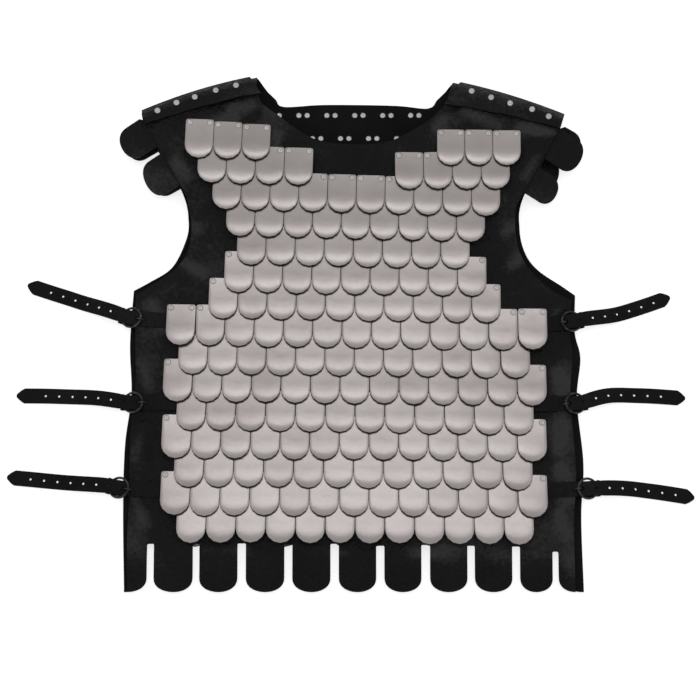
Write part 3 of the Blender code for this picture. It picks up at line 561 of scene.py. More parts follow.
def blocks_of(points):
    """The points in blocks of about a thousand, so that a table against other points stays small."""
    return np.array_split(points, max(1, len(points) // 1000))


def inside(loop, points):
    """True for points within the loop: those with an odd number of its edges to their right."""
    ax, ay = loop.T
    bx, by = np.roll(loop, -1, axis=0).T
    rise = np.where(by == ay, 1.0, by - ay)
    found = []
    for block in blocks_of(points):
        x, y = block[:, :1], block[:, 1:]
        crosses = (ay > y) != (by > y)
        found.append((crosses & (x < ax + (y - ay) * (bx - ax) / rise)).sum(axis=1) % 2 == 1)
    return np.concatenate(found)


def loop_area(loop):
    """Flat area of a loop in square metres: sum of x dy - y dx over two."""
    x, y = loop.T
    return abs(np.sum(x * np.roll(y, -1) - y * np.roll(x, -1))) / 2 * MM * MM


# Meshes

def piece(name, points, faces, looks, nodes=(), face_looks=None, tone=None, crisp=35.0):
    """One object from sheet points and arrays of faces, each array with its own number of corners."""
    mesh = bpy.data.meshes.new(name)
    mesh.vertices.add(len(points))
    mesh.vertices.foreach_set("co", to_frame(points).astype(np.float32).ravel())
    sizes = np.concatenate([np.full(len(rows), rows.shape[1]) for rows in faces])
    corners = np.concatenate([rows.ravel() for rows in faces])
    mesh.loops.add(len(corners))
    mesh.loops.foreach_set("vertex_index", corners.astype(np.int32))
    mesh.polygons.add(len(sizes))
    mesh.polygons.foreach_set("loop_start", (np.cumsum(sizes) - sizes).astype(np.int32))
    mesh.polygons.foreach_set("use_smooth", np.ones(len(sizes), bool))
    if face_looks is not None:
        mesh.polygons.foreach_set("material_index", face_looks.astype(np.int32))
    mesh.update(calc_edges=True)
    mesh.validate()
    for look in looks:
        mesh.materials.append(look)
    if tone is not None:
        mesh.attributes.new("tone", "FLOAT", "POINT").data.foreach_set("value", tone.astype(np.float32))
    mesh.set_sharp_from_angle(angle=math.radians(crisp))
    made = bpy.data.objects.new(name, mesh)
    bpy.context.scene.collection.objects.link(made)
    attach(made, "root")
    if nodes:
        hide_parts(*nodes)
    return made


def hex_dots(low, high, step):
    """Rows of points a step apart, every other row moved by half a step."""
    xs = np.arange(low[0], high[0] + step, step)
    ys = np.arange(low[1], high[1] + step, step * 0.866)
    x, y = np.meshgrid(xs, ys)
    x = x + (np.arange(len(ys)) % 2)[:, None] * step / 2
    return np.stack((x.ravel(), y.ravel()), axis=-1)


def nearest(dots, others):
    """Squared distance from each dot to the nearest of the other points."""
    found = [((block[:, None] - others) ** 2).sum(axis=-1).min(axis=1) for block in blocks_of(dots)]
    return np.concatenate(found)


def rim_walls(faces, total):
    """Walls between a sheet's two layers, total points apart, along the sides that only one face has."""
    corners = faces.shape[1]
    sides = np.concatenate([faces[:, (k, (k + 1) % corners)] for k in range(corners)])
    keys = sides[:, 0] * total + sides[:, 1]
    rim = sides[~np.isin(sides[:, 1] * total + sides[:, 0], keys)]
    return np.stack((rim[:, 0], rim[:, 0] + total, rim[:, 1] + total, rim[:, 1]), axis=-1)


def leather_cut(name, outline, place, thickness, step, looks, nodes, up=True, holes=(), sheen_and_wear=None):
    """Thin closed sheet over a plan outline, place(x, y, depth) being its surface at a depth of leather."""
    dots = hex_dots(outline.min(axis=0), outline.max(axis=0), step)
    dots = dots[inside(outline, dots)]
    dots = dots[nearest(dots, np.concatenate([outline, *holes])) > (0.55 * step) ** 2]
    for hole in holes:
        dots = dots[~inside(hole, dots)]
    loops = [outline, *holes]
    ends = np.cumsum([len(loop) for loop in loops])
    numbers = np.split(np.arange(ends[-1]), ends[:-1])
    edges = np.concatenate([np.stack((ring, np.roll(ring, -1)), axis=-1) for ring in numbers])
    plan = np.concatenate([*loops, dots])
    plan, _, faces, _, _, _ = delaunay_2d_cdt(plan.tolist(), edges.tolist(), [], 0, 0.01)
    plan = np.array(plan)
    faces = np.array(faces)
    middles = plan[faces].mean(axis=1)
    keep = inside(outline, middles)
    for hole in holes:
        keep &= ~inside(hole, middles)
    faces = faces[keep]
    used, faces = np.unique(faces, return_inverse=True)
    faces = faces.reshape(-1, 3)
    plan = plan[used]
    total = len(plan)
    walls = rim_walls(faces, total)
    points = np.concatenate([place(plan[:, 0], plan[:, 1], depth) for depth in (0.0, thickness)])
    shell = [np.concatenate((faces, faces[:, ::-1] + total)), walls]
    if not up:
        shell = [rows[:, ::-1] for rows in shell]
    face_looks = np.zeros(2 * len(faces) + len(walls))
    face_looks[len(faces):2 * len(faces)] = 1
    face_looks[2 * len(faces):] = 2 if len(looks) > 2 else 0
    # The tone attribute carries the front's painted sheen, which the leather's colour reads.
    tone = None if sheen_and_wear is None else np.tile(sheen_and_wear(plan[:, 0], plan[:, 1]), 2)
    return piece(name, points, shell, looks, nodes, face_looks, tone)


def grid_faces(rows, columns, wrap_rows=False, wrap_columns=False):
    """Four-cornered faces of a grid of points, row by row."""
    i = np.arange(rows if wrap_rows else rows - 1)
    j = np.arange(columns if wrap_columns else columns - 1)
    i, j = np.meshgrid(i, j, indexing="ij")
    a = i * columns + j
    b = ((i + 1) % rows) * columns + j
    c = ((i + 1) % rows) * columns + (j + 1) % columns
    d = i * columns + (j + 1) % columns
    return np.stack((a, b, c, d), axis=-1).reshape(-1, 4)


def grid_rim(rows, columns):
    """Numbers of a grid's outer points in order: along the first row, down, back along the last, and up."""
    return np.concatenate((np.arange(columns), np.arange(1, rows) * columns + columns - 1,
                           (rows - 1) * columns + np.arange(columns - 2, -1, -1),
                           np.arange(rows - 2, 0, -1) * columns))


# Leather panels

def front_painted_sheen(x, y):
    """Painted sheen of the front as a tone: lighter on crease ridges and sheen patches, darker in troughs and
    toward the hem's ends.

    A patch adds amount * exp(-(dx / half width)^2 - (dy / half height)^2).
    """
    tone = creases(x, y, FRONT_CREASES) / 2.0 - 0.5 * smooth((HEM_Y - 8.0 - y) / 40.0)
    for at_x, at_y, wide, high, amount in SHEEN_PATCHES:
        tone += amount * np.exp(-((x - at_x) / wide) ** 2 - ((y - at_y) / high) ** 2)
    return tone


def front_panel(looks):
    """Front of the armour: its cut in plan, laid over the back and round the shoulder folds."""
    left, right = FRONT_LEFT_SIDE[-1][0], FRONT_RIGHT_SIDE[0][0]
    outline = panel_outline(hem_line(left, right, 0.0), FRONT_RIGHT_SIDE, FRONT_RIGHT_ARM, FRONT_NECK,
                            FRONT_LEFT_ARM, FRONT_LEFT_SIDE)
    # Its tone is painted sheen: lighter where the leather would catch the light, darker in troughs and at the
    # hem.
    made = leather_cut("front_panel_leather", outline, lambda x, y, depth: on_panel(x, y, depth, True),
                       LEATHER, 5.5, looks, ("front_panel",), sheen_and_wear=front_painted_sheen)
    size = np.ptp(outline, axis=0) * MM
    return made, size, loop_area(outline)


def back_panel(looks):
    """Back of the armour: its cut in plan, laid on the back's scales and round the shoulder folds."""
    left, right = BACK_LEFT_SIDE[-1][0], BACK_RIGHT_SIDE[0][0]
    outline = panel_outline(hem_line(left, right, 0.6), BACK_RIGHT_SIDE, BACK_RIGHT_ARM, BACK_NECK,
                            BACK_LEFT_ARM, BACK_LEFT_SIDE)
    made = leather_cut("back_panel_leather", outline, lambda x, y, depth: on_panel(x, y, depth, False),
                       LEATHER, 6.5, looks, ("back_panel",), up=False)
    size = np.ptp(outline, axis=0) * MM
    return made, size, loop_area(outline)


def shoulder_strip(fold, looks):
    """A folded strip: its section (front leg, half turn, back leg) is carried along the fold."""
    length = math.dist(fold.neck, fold.outer)
    stations = 40
    k = np.arange(stations) / (stations - 1)
    along = (STRIP_START + k * (length - STRIP_START)) / length
    x = fold.neck[0] + along * (fold.outer[0] - fold.neck[0])
    radius = fold_radius(x)[:, None]
    curl = (fold.curl * clamp(1 - 1.9 * k))[:, None]
    reach = (fold.leg + (fold.outer_leg - fold.leg) * k)[:, None]
    outward = fold_axes(fold)[0]
    front_shares = np.linspace(1.0, 0.0, 9)[:-1][None, :]
    turns = np.linspace(0, np.pi, 21)[None, :]
    wave = (0.5 * np.sin(along * 19.0) + 0.35 * np.sin(along * 43.0 + 1.0))[:, None]
    layers = []
    for depth in (0.0, STRIP):
        arm = radius - depth
        leg = front_shares * (reach + wave - radius) + radius
        parts = ((leg, radius + arm + curl * front_shares ** 2),
                 (radius - arm * np.sin(turns), radius + arm * np.cos(turns)),
                 (radius + (BACK_LEG - radius) * np.array([[1.0]]), radius - arm))
        distance = np.concatenate([part[0] for part in parts], axis=1)
        z = np.concatenate([np.broadcast_to(part[1], part[0].shape) for part in parts], axis=1)
        places = fold_edge(fold, along[:, None] + 0 * distance, distance)
        slant = (1 - k)[:, None] * fold.slant * distance / fold.leg
        layers.append(np.concatenate((places - slant[..., None] * outward, z[..., None]), axis=-1))
    rows, columns = layers[0].shape[:2]
    total = rows * columns
    faces = grid_faces(rows, columns)
    ring = grid_rim(rows, columns)
    beyond = np.roll(ring, -1)
    walls = np.stack((ring, beyond, beyond + total, ring + total), axis=-1)
    shell = [np.concatenate((faces, faces[:, ::-1] + total)), walls]
    if fold.side < 0:
        shell = [rows_of[:, ::-1] for rows_of in shell]
    face_looks = np.zeros(2 * len(faces) + len(walls))
    face_looks[len(faces):2 * len(faces)] = 1
    side = "left" if fold.side < 0 else "right"
    points = np.concatenate([layer.reshape(-1, 3) for layer in layers])
    made = piece(f"shoulder_strip_{side}_leather", points, shell, looks,
                 (f"shoulder_strip_{side}",), face_looks)
    girth = fold.leg - float(radius.mean()) + math.pi * float(radius.mean()) + 2.0
    return made, (girth * MM, (length - STRIP_START) * MM)


# Shoulder tabs

def shoulder_tabs(pair, looks):
    """Two round-ended tabs with a common root, bent down past the shoulder's edge."""
    along = np.array((0.5 * -pair.side, -0.866))
    outward = np.array((0.866 * pair.side, -0.5))
    edge = SHOULDER_EDGE[pair.side]
    base = edge - TAB_ROOT
    angles = np.linspace(0, np.pi, 25)
    upper = pair.upper.start
    lower_end = pair.lower.start + pair.lower.width
    flat = [np.array([(lower_end, base)])]
    for tab in (pair.lower, pair.upper):
        half = tab.width / 2
        end = edge + tab.reach - TAB_ROUND
        if tab == pair.upper:
            flat.append(straight((upper + tab.width, edge + 2.0), (upper + tab.width, end - 1.0), 5.0))
        lobe = (tab.start + half + half * np.cos(angles), end + TAB_ROUND * np.sin(angles) ** 0.8)
        flat.append(np.stack(lobe, axis=-1))
        if tab == pair.lower:
            flat.append(straight((tab.start, end - 1.0), (tab.start, edge + 2.0), 5.0))
    flat.append(straight((upper, edge + pair.upper.reach - TAB_ROUND), (upper, edge + 3.0), 5.0)[1:])
    flat.append(straight((upper + pair.trim, base), (lower_end, base), 6.0)[:-1])
    flat = joined(*flat)
    outline = flat[:, :1] * along + flat[:, 1:] * outward
    if pair.side < 0:
        outline = outline[::-1]
    seed = len(pair.name) + (3 if pair.on_front else 0)

    def place(x, y, depth):
        out = x * outward[0] + y * outward[1] - edge
        q = x * along[0] + y * along[1]
        droop = soft_step(out / 45.0, 0.12)
        roll = 0.8 * np.sin(q / 17.0 + seed) * smooth(out / 40.0)
        if pair.on_front:
            z = front_top(x, y) - LEATHER - SEAM - depth - TAB_DROP * droop + roll
        else:
            fall = BACK_TAB_DROP * soft_step((out - 15.0) / 28.0, 0.15)
            z = BACK_RIM + BACK_SWELL + LEATHER + SEAM + STRIP - depth - fall + np.maximum(roll, 0)
        return np.stack((x, y, z), axis=-1)

    made = leather_cut(f"{pair.name}_leather", outline, place, STRIP, 4.5, looks, (pair.name,))
    size = np.ptp(flat, axis=0) * MM
    return made, size, loop_area(flat)


# Scales

def scale_template():
    """One scale on a grid: across u, down from the corner's arc to straight + half sqrt(1 - u^2)."""
    across = np.array((-1.0, -0.95, -0.8, -0.45, 0.0, 0.45, 0.8, 0.95, 1.0))
    share = np.array((0.0, 0.32, 0.52, 0.68, 0.82, 0.92, 0.98, 1.0))
    rows, columns = len(share), len(across)
    u = np.broadcast_to(across, (rows, columns))
    end = SCALE_STRAIGHT + (SCALE_LENGTH - SCALE_STRAIGHT) * np.sqrt(1 - across ** 2)
    near_side = np.maximum(0.0, abs(across) * SCALE_WIDTH / 2 - (SCALE_WIDTH / 2 - SCALE_CORNER))
    start = SCALE_CORNER - np.sqrt(SCALE_CORNER ** 2 - near_side ** 2)
    down = start + share[:, None] * (end - start)[None, :]
    return u, down, grid_faces(rows, columns), grid_rim(rows, columns)


def dome(u, down):
    """Dished end: cup * (1 - p^2) + roll * (1 - turn * q^2), p going to the rim, q over its last third."""
    past = np.maximum(0.0, down - SCALE_STRAIGHT) / (SCALE_LENGTH - SCALE_STRAIGHT)
    share = np.sqrt(u * u + past * past)
    last_third = clamp((share - 0.58) / 0.42)
    turn = 0.12 + 0.88 * (past / np.maximum(share, 0.01)) ** 2
    near_end = smooth((down - 12.0) / 28.0)
    return near_end * (SCALE_CUP * (1 - share ** 2) + SCALE_ROLL * (1 - turn * last_third ** 2))


def rim_drop(u, down):
    """Rounding of a scale's edge: 0.35 mm lower at the rim itself."""
    end = SCALE_STRAIGHT + (SCALE_LENGTH - SCALE_STRAIGHT) * np.sqrt(np.maximum(0.0, 1 - u * u))
    return 0.35 * np.maximum(1 - clamp((end - down) / 1.6), 1 - clamp((1 - abs(u)) / 0.06))


def beside(base, ax, across, up):
    """Plan x and y of a place across and up from a base, in a row's own direction ax."""
    return base[0] + ax[0] * across - ax[1] * up, base[1] + ax[1] * across + ax[0] * up


def scales(name, looks, nodes, ax, tips, place_low, widths, lengths, tones, upward):
    """All scales of one row as single plates. place_low gives each plate's flat underside over its grid."""
    u, down, faces, ring = scale_template()
    size = u.size
    count = len(tips)
    points = []
    for k in range(count):
        across = u * widths[k] / 2
        low = place_low(k, across, down)
        rise = SCALE_LENGTH - down + (lengths[k] - SCALE_LENGTH) * clamp(1 - down / SCALE_STRAIGHT)
        x, y = beside(tips[k], ax, across, rise)
        upper = low + STEEL
        if upward:
            upper = upper + dome(u, down) - rim_drop(u, down)
        points.append(np.stack((x, y, upper), axis=-1).reshape(-1, 3))
        below = upper - STEEL + rim_drop(u, down) if upward else low
        points.append(np.stack((x, y, below), axis=-1).reshape(-1, 3)[ring])
    lap = size + len(ring)
    first = (np.arange(count) * lap)[:, None, None]
    top = (faces[None] + first).reshape(-1, 4)
    rim = size + np.arange(len(ring))
    wall = np.stack((ring, np.roll(ring, -1), np.roll(rim, -1), rim), axis=-1)
    walls = (wall[None] + first).reshape(-1, 4)
    under = (rim[None, ::-1] + first[:, :, 0])
    shell = [top, walls, under]
    tone = np.repeat(tones, lap)
    # Painted shade: the last band of each plate's top, the walls and the underside take the near-black steel
    # that stands for the dark gap under the plate's end.
    painted_shade_band = np.arange(len(faces)) >= len(faces) - (u.shape[1] - 1)
    face_looks = np.concatenate((np.tile(painted_shade_band, count), np.ones(len(walls) + count)))
    return piece(name, np.concatenate(points), shell, looks, nodes, face_looks, tone,
                 crisp=40.0)


def front_row(row, number, looks):
    """One row: plates of one width along a line, each resting on the leather and the row below."""
    chance = np.random.default_rng(40 + number)
    length = math.dist((row.left_x, row.left_y), (row.right_x, row.right_y))
    ax = ((row.right_x - row.left_x) / length, (row.right_y - row.left_y) / length)
    width = min(SCALE_WIDTH, (length - SCALE_GAP * (row.count - 1)) / row.count)
    pitch = (length - width) / (row.count - 1)
    across = width / 2 + np.arange(row.count) * pitch
    slip = chance.normal(0.0, 0.35, row.count)
    tips = np.stack(beside((row.left_x, row.left_y), ax, across, slip), axis=-1)
    roll = chance.normal(0.0, 0.017, row.count)
    pitch_up = chance.normal(0.0, 0.35, row.count)
    lifted = np.zeros(row.count)
    if row.name.endswith("08"):
        lifted[[0, -1]] = END_LIFT

    def height(k, side, down):
        return front_top(*beside(tips[k], ax, side, SCALE_LENGTH - down))

    def low(k, side, down):
        top = height(k, 0.0, REST_TOP)
        slope = (height(k, 0.0, REST_END) - top) / (REST_END - REST_TOP)
        lean = (height(k, REST_SIDE, REST_MIDDLE) - height(k, -REST_SIDE, REST_MIDDLE)) / (2 * REST_SIDE)
        plane = top + slope * (down - REST_TOP) + (lean + roll[k]) * side
        lift = (abs(pitch_up[k]) + 0.7 * lifted[k]) * down / SCALE_LENGTH
        return plane + SEAM + SCALE_TILT * down + lift + 0.2

    tones = chance.uniform(0.0, 1.0, row.count)
    widths = np.full(row.count, width) - abs(chance.normal(0.0, 0.12, row.count))
    lengths = np.linspace(row.left_length, row.right_length, row.count)
    scales(f"{row.name}_steel", looks, (row.name,), ax, tips, low, widths, lengths, tones, True)
    heads = []
    for k in range(row.count):
        for side in (-1, 1):
            offset = side * (width / 2 - RIVET_IN)
            plan = beside(tips[k], ax, offset, lengths[k] - RIVET_DOWN)
            heads.append((*plan, float(low(k, offset, RIVET_DOWN)) + STEEL))
    return heads


def back_row(number, count, looks):
    """One row of the back's scales, tilted under the row above and flat on the floor below."""
    chance = np.random.default_rng(90 + number)
    top = BACK_TOP - BACK_STEP * number
    start = BACK_MIDDLE - (count * BACK_PITCH - (BACK_PITCH - SCALE_WIDTH)) / 2
    across = start + SCALE_WIDTH / 2 + np.arange(count) * BACK_PITCH
    tips = np.stack((across, np.full(count, top - SCALE_LENGTH)), axis=-1)

    def low(k, side, down):
        return np.broadcast_to(BACK_RISE * soft_step(1 - down / BACK_CREASE, 0.04), np.shape(side))

    name = f"back_scales_{number + 1:02d}"
    tones = chance.uniform(0.0, 1.0, count)
    made = scales(f"{name}_steel", looks, (name,), (1.0, 0.0), tips, low, np.full(count, SCALE_WIDTH),
                  np.full(count, SCALE_LENGTH), tones, False)
    heads = [(x + side * (SCALE_WIDTH / 2 - RIVET_IN), top - RIVET_DOWN,
              BACK_RISE * (1 - RIVET_DOWN / BACK_CREASE)) for x in across for side in (-1, 1)]
    return made, heads


# Rivets

def rivets(name, places, look, radius=RIVET_RADIUS, height=RIVET_HEIGHT, downward=False, sides=12):
    """Round heads with a central dimple: a profile of radius and height turned about each place."""
    places = np.asarray(places, float)
    angles = np.arange(sides) * 2 * np.pi / sides
    x = np.outer(RIVET_SECTION[:-1, 0], np.cos(angles)) * radius
    y = np.outer(RIVET_SECTION[:-1, 0], np.sin(angles)) * radius
    z = np.repeat(RIVET_SECTION[:-1, 1:], sides, axis=1) * height
    ring = np.stack((x, y, z), axis=-1).reshape(-1, 3)
    one = np.concatenate((ring, [(0.0, 0.0, RIVET_SECTION[-1, 1] * height)]))
    if downward:
        one = one * (1.0, 1.0, -1.0)
    rings = len(RIVET_SECTION) - 1
    quads = grid_faces(rings, sides, wrap_columns=True)[:, ::-1]
    last = (rings - 1) * sides + np.arange(sides)
    fan = np.stack((last, np.roll(last, -1), np.full(sides, len(one) - 1)), axis=-1)
    base = np.arange(sides)[None, ::-1]
    shell = [quads, fan, base]
    if downward:
        shell = [rows[:, ::-1] for rows in shell]
    first = (np.arange(len(places)) * len(one))[:, None, None]
    faces = [(rows[None] + first).reshape(-1, rows.shape[1]) for rows in shell]
    points = (places[:, None, :] + one[None]).reshape(-1, 3)
    tone = np.repeat(np.random.default_rng(7).uniform(0, 1, len(places)), len(one))
    return piece(name, points, faces, [look], tone=tone, crisp=60.0)


def strip_rivets(look):
    """Rivets on the shoulder strips, at 2 r less the drop r - sqrt(r^2 - (r - d)^2) of the rounded edge."""
    x, y = np.array(STRIP_RIVETS).T
    radius = fold_radius(x)
    short = np.maximum(0.0, radius - fold_distance(x, y))
    sunk = radius - np.sqrt(np.maximum(0.0, radius ** 2 - short ** 2))
    rivets("strip_rivets", np.column_stack((x, y, 2 * radius - sunk - 0.3)), look)


def neck_rivets(look):
    """Inner ends of the back's rivets that show at the neck, in pairs along two rows."""
    inner = []
    for middle, row_y, pairs in NECK_RIVETS:
        at = middle + (np.arange(pairs) - pairs // 2) * NECK_PITCH
        at = np.concatenate((at - NECK_PAIR, at + NECK_PAIR))
        inner.append(np.stack((at, np.full(len(at), row_y)), axis=-1))
    x, y = np.concatenate(inner).T
    z = back_low(x, y) + back_lie(x, y) + LEATHER
    rivets("neck_rivet_ends", np.column_stack((x, y, z)), look, NECK_RIVET_RADIUS, NECK_RIVET_HEIGHT)


# Side straps and buckles

def strap_ahead(run):
    """Direction of a strap at its buckle, toward its free end."""
    return unit(run.buckle, run.hole)


def strap_edges(run):
    """Plan of a strap: its outline, a little narrower inside the ring, and its middle line."""
    line = curve([run.start, run.buckle, run.hole, run.middle, run.end], 5.0)
    ahead = strap_ahead(run)
    way = np.gradient(line, axis=0)
    way /= np.hypot(*way.T)[:, None]
    past = (line - run.buckle) @ ahead
    half = PINCH / 2 + (STRAP_WIDTH - PINCH) / 2 * smooth((abs(past) - RING_RADIUS) / 9.0)
    to_end = np.hypot(*(line - line[-1]).T)
    tip = TIP_HALF + (half - TIP_HALF) * clamp(to_end / TIP_LENGTH) ** 0.9
    half = np.where(to_end < TIP_LENGTH, tip, half)
    square = np.stack((-way[:, 1], way[:, 0]), axis=-1)
    left = line + square * half[:, None]
    right = line - square * half[:, None]
    return np.concatenate((right, left[::-1])), line


def strap_height(run, x, y):
    """Underside of a strap: on the front, up through the buckle, then down to the floor."""
    ahead = strap_ahead(run)
    past = (x - run.buckle[0]) * ahead[0] + (y - run.buckle[1]) * ahead[1]
    beyond = run.height * (1 - smooth((past - STRAP_LEAVES) / STRAP_TO_FLOOR))
    ripple = 0.9 * smooth((past - 60.0) / 30.0) * (1 + np.sin(past / 13.0 + len(run.name)))
    on_front = np.maximum(front_top(x, y), front_top(x - 9.0 * run.side, y)) + SEAM
    t = smooth((past + STRAP_CLIMBS) / (STRAP_CLIMBS - RING_RADIUS - 2))
    near = np.maximum(on_front * (1 - t) + run.height * t, front_top(x, y) + 2 * SEAM)
    return np.where(past > -RING_RADIUS, beyond + ripple, near)


def strap(run, looks):
    """Strap with its row of open holes, and one more inside the ring, filled by the prong."""
    outline, line = strap_edges(run)
    ahead = strap_ahead(run)
    angles = np.arange(10) * 2 * np.pi / 10
    first = np.array(run.hole) - (HOLE_PITCH + 0.5) * ahead
    span = np.hypot(*(np.diff(line, axis=0)).T)
    run_length = np.concatenate(([0.0], np.cumsum(span)))
    at_first = run_length[np.argmin(np.hypot(*(line - run.hole).T))]
    holes = [first + PRONG_HOLE * np.stack((np.cos(angles[::2]), np.sin(angles[::2])), axis=-1)]
    for k in range(HOLE_COUNT):
        at = at_first + k * HOLE_PITCH
        centre = np.array([np.interp(at, run_length, line[:, i]) for i in (0, 1)])
        holes.append(centre + HOLE_RADIUS * np.stack((np.cos(angles), np.sin(angles)), axis=-1))
    made = leather_cut(
        f"strap_{run.name}_leather", joined(outline),
        lambda x, y, depth: np.stack((x, y, strap_height(run, x, y) + STRAP - depth), axis=-1),
        STRAP, 4.0, looks, (f"strap_{run.name}",), holes=holes)
    return made, (STRAP_WIDTH * MM, run_length[-1] * MM), loop_area(outline)


def tube(path, radius, sides, closed):
    """Points and faces of a round bar along a path, each section square to it."""
    way = np.roll(path, -1, axis=0) - np.roll(path, 1, axis=0)
    if not closed:
        way = np.gradient(path, axis=0)
    way /= np.linalg.norm(way, axis=1)[:, None]
    across = np.cross(way, (0.0, 0.0, 1.0))
    across /= np.linalg.norm(across, axis=1)[:, None]
    up = np.cross(across, way)
    angles = np.arange(sides) * 2 * np.pi / sides
    radius = np.broadcast_to(radius, len(path))
    points = path[:, None] + radius[:, None, None] * (np.cos(angles)[None, :, None] * across[:, None]
                                                      + np.sin(angles)[None, :, None] * up[:, None])
    faces = [grid_faces(len(path), sides, wrap_rows=closed, wrap_columns=True)[:, ::-1]]
    if not closed:
        faces.append(np.stack((np.arange(sides), (len(path) - 1) * sides + np.arange(sides)[::-1])))
    return points.reshape(-1, 3), faces


def buckle(run, look):
    """Round wire ring, with its prong up through the hole inside it and over the front wire."""
    ahead = strap_ahead(run)
    across = np.array((-ahead[1], ahead[0]))
    heel = run.height - STRAP - 2 * SEAM - WIRE_RADIUS
    front = run.height + STRAP + SEAM + WIRE_RADIUS + 1.4
    angles = np.arange(40) * 2 * np.pi / 40
    spokes = np.cos(angles)[:, None] * ahead + np.sin(angles)[:, None] * across
    plan = np.array(run.buckle) + RING_RADIUS * spokes
    z = (heel + front) / 2 + (heel - front) / 2 * np.cos(angles)
    ring, ring_faces = tube(np.column_stack((plan, z)), WIRE_RADIUS * 1.08, 10, True)
    hole = math.dist(run.buckle, run.hole) - HOLE_PITCH
    steps = np.array(((RING_RADIUS, heel), (hole + 7.0, heel + 0.3), (hole + 1.0, run.height - 0.3),
                      (hole - 1.4, run.height + STRAP + 0.9), (-RING_RADIUS + 1, front + WIRE_RADIUS + 0.9),
                      (-RING_RADIUS - 4.5, front + 1.8)))
    fine = curve(steps, 1.2)
    spine = np.column_stack((np.array(run.buckle) + fine[:, :1] * ahead, fine[:, 1]))
    last = len(spine) - 1
    thick = PRONG_RADIUS * np.interp(np.arange(last + 1), (0, last - 3, last), (1.15, 0.9, 0.45))
    prong, prong_faces = tube(spine, thick, 8, False)
    faces = [*ring_faces, *[rows + len(ring) for rows in prong_faces]]
    return piece(f"buckle_{run.name}_metal", np.concatenate((ring, prong)), faces, [look],
                 (f"buckle_{run.name}",), crisp=50.0)


def chape(run, look):
    """Leather loop round the buckle's heel: a section out and up, carried across, with the prong's slot."""
    ahead = strap_ahead(run)
    across = np.array((-ahead[1], ahead[0]))
    heel = run.height - STRAP - 2 * SEAM - WIRE_RADIUS
    near, far = WIRE_RADIUS + SEAM, WIRE_RADIUS + SEAM + STRAP
    turns = np.radians(np.arange(-100, 95, 16))
    cuts = np.array((-CHAPE_WIDTH / 2, -CHAPE_SLOT / 2, CHAPE_SLOT / 2, CHAPE_WIDTH / 2))
    layers = []
    faces_of_leather = ((near, CHAPE_TURNS_UP, STRAP, STRAP + 0.1), (far, CHAPE_TURNS_UP + 0.6, 0.0, 0.0))
    for radius, foot, base, least in faces_of_leather:
        out = np.concatenate(((CHAPE_IN, foot), RING_RADIUS + radius * np.cos(turns)))
        z = np.concatenate(((base, base), np.maximum(least, heel + radius * np.sin(turns))))
        plan = np.array(run.buckle) + out[:, None, None] * ahead + cuts[None, :, None] * across
        height = np.broadcast_to(z[:, None, None], (*plan.shape[:2], 1))
        layers.append(np.concatenate((plan, height), axis=-1))
    rows, columns = layers[0].shape[:2]
    total = rows * columns
    quads = grid_faces(rows, columns)
    slot = (quads[:, 0] % columns == 1) & (quads[:, 0] // columns >= 4)
    quads = quads[~slot]
    shell = [np.concatenate((quads, quads[:, ::-1] + total)), rim_walls(quads, total)]
    points = np.concatenate([layer.reshape(-1, 3) for layer in layers])
    return piece(f"chape_{run.name}_leather", points, shell, [look], (f"chape_{run.name}",))


# Finishes

def new_finish(name):
    """A material with its nodes and its one shader."""
    made = bpy.data.materials.new(name)
    made.use_nodes = True
    tree = made.node_tree
    return made, tree, tree.nodes["Principled BSDF"]


def object_noise(tree, scale, detail=3.0, kind="ShaderNodeTexNoise", stretch=(1.0, 1.0, 1.0)):
    """Noise in metres of the object's own coordinates."""
    place = tree.nodes.new("ShaderNodeTexCoord")
    mapping = tree.nodes.new("ShaderNodeMapping")
    mapping.inputs["Scale"].default_value = stretch
    made = tree.nodes.new(kind)
    made.inputs["Scale"].default_value = scale
    if "Detail" in made.inputs:
        made.inputs["Detail"].default_value = detail
    tree.links.new(place.outputs["Object"], mapping.inputs["Vector"])
    tree.links.new(mapping.outputs["Vector"], made.inputs["Vector"])
    return made


def ramp(tree, source, stops):
    """Colour ramp from an output. Its stops are (place, colour), the two ends first."""
    made = tree.nodes.new("ShaderNodeValToRGB")
    band = made.color_ramp
    for k, (place, colour) in enumerate(stops):
        stop = band.elements[k] if k < 2 else band.elements.new(place)
        stop.position = place
        stop.color = (*colour, 1.0) if hasattr(colour, "__len__") else (colour, colour, colour, 1.0)
    tree.links.new(source, made.inputs["Fac"])
    return made.outputs["Color"]


def painted(tree, shader, socket, source, stops):
    """Leads an output to one socket of a shader through a colour ramp."""
    tree.links.new(ramp(tree, source, stops), shader.inputs[socket])


def weighted(tree, source, share, rest):
    """source * share + rest."""
    made = tree.nodes.new("ShaderNodeMath")
    made.operation = "MULTIPLY_ADD"
    made.inputs[1].default_value = share
    tree.links.new(source, made.inputs[0])
    tree.links.new(rest, made.inputs[2])
    return made.outputs["Value"]


def bump(tree, shader, layers):
    """Bumps one on another, each (height output, strength, distance in metres)."""
    last = None
    for height, strength, distance in layers:
        made = tree.nodes.new("ShaderNodeBump")
        made.inputs["Strength"].default_value = strength
        made.inputs["Distance"].default_value = distance
        tree.links.new(height, made.inputs["Height"])
        if last is not None:
            tree.links.new(last, made.inputs["Normal"])
        last = made.outputs["Normal"]
    tree.links.new(last, shader.inputs["Normal"])


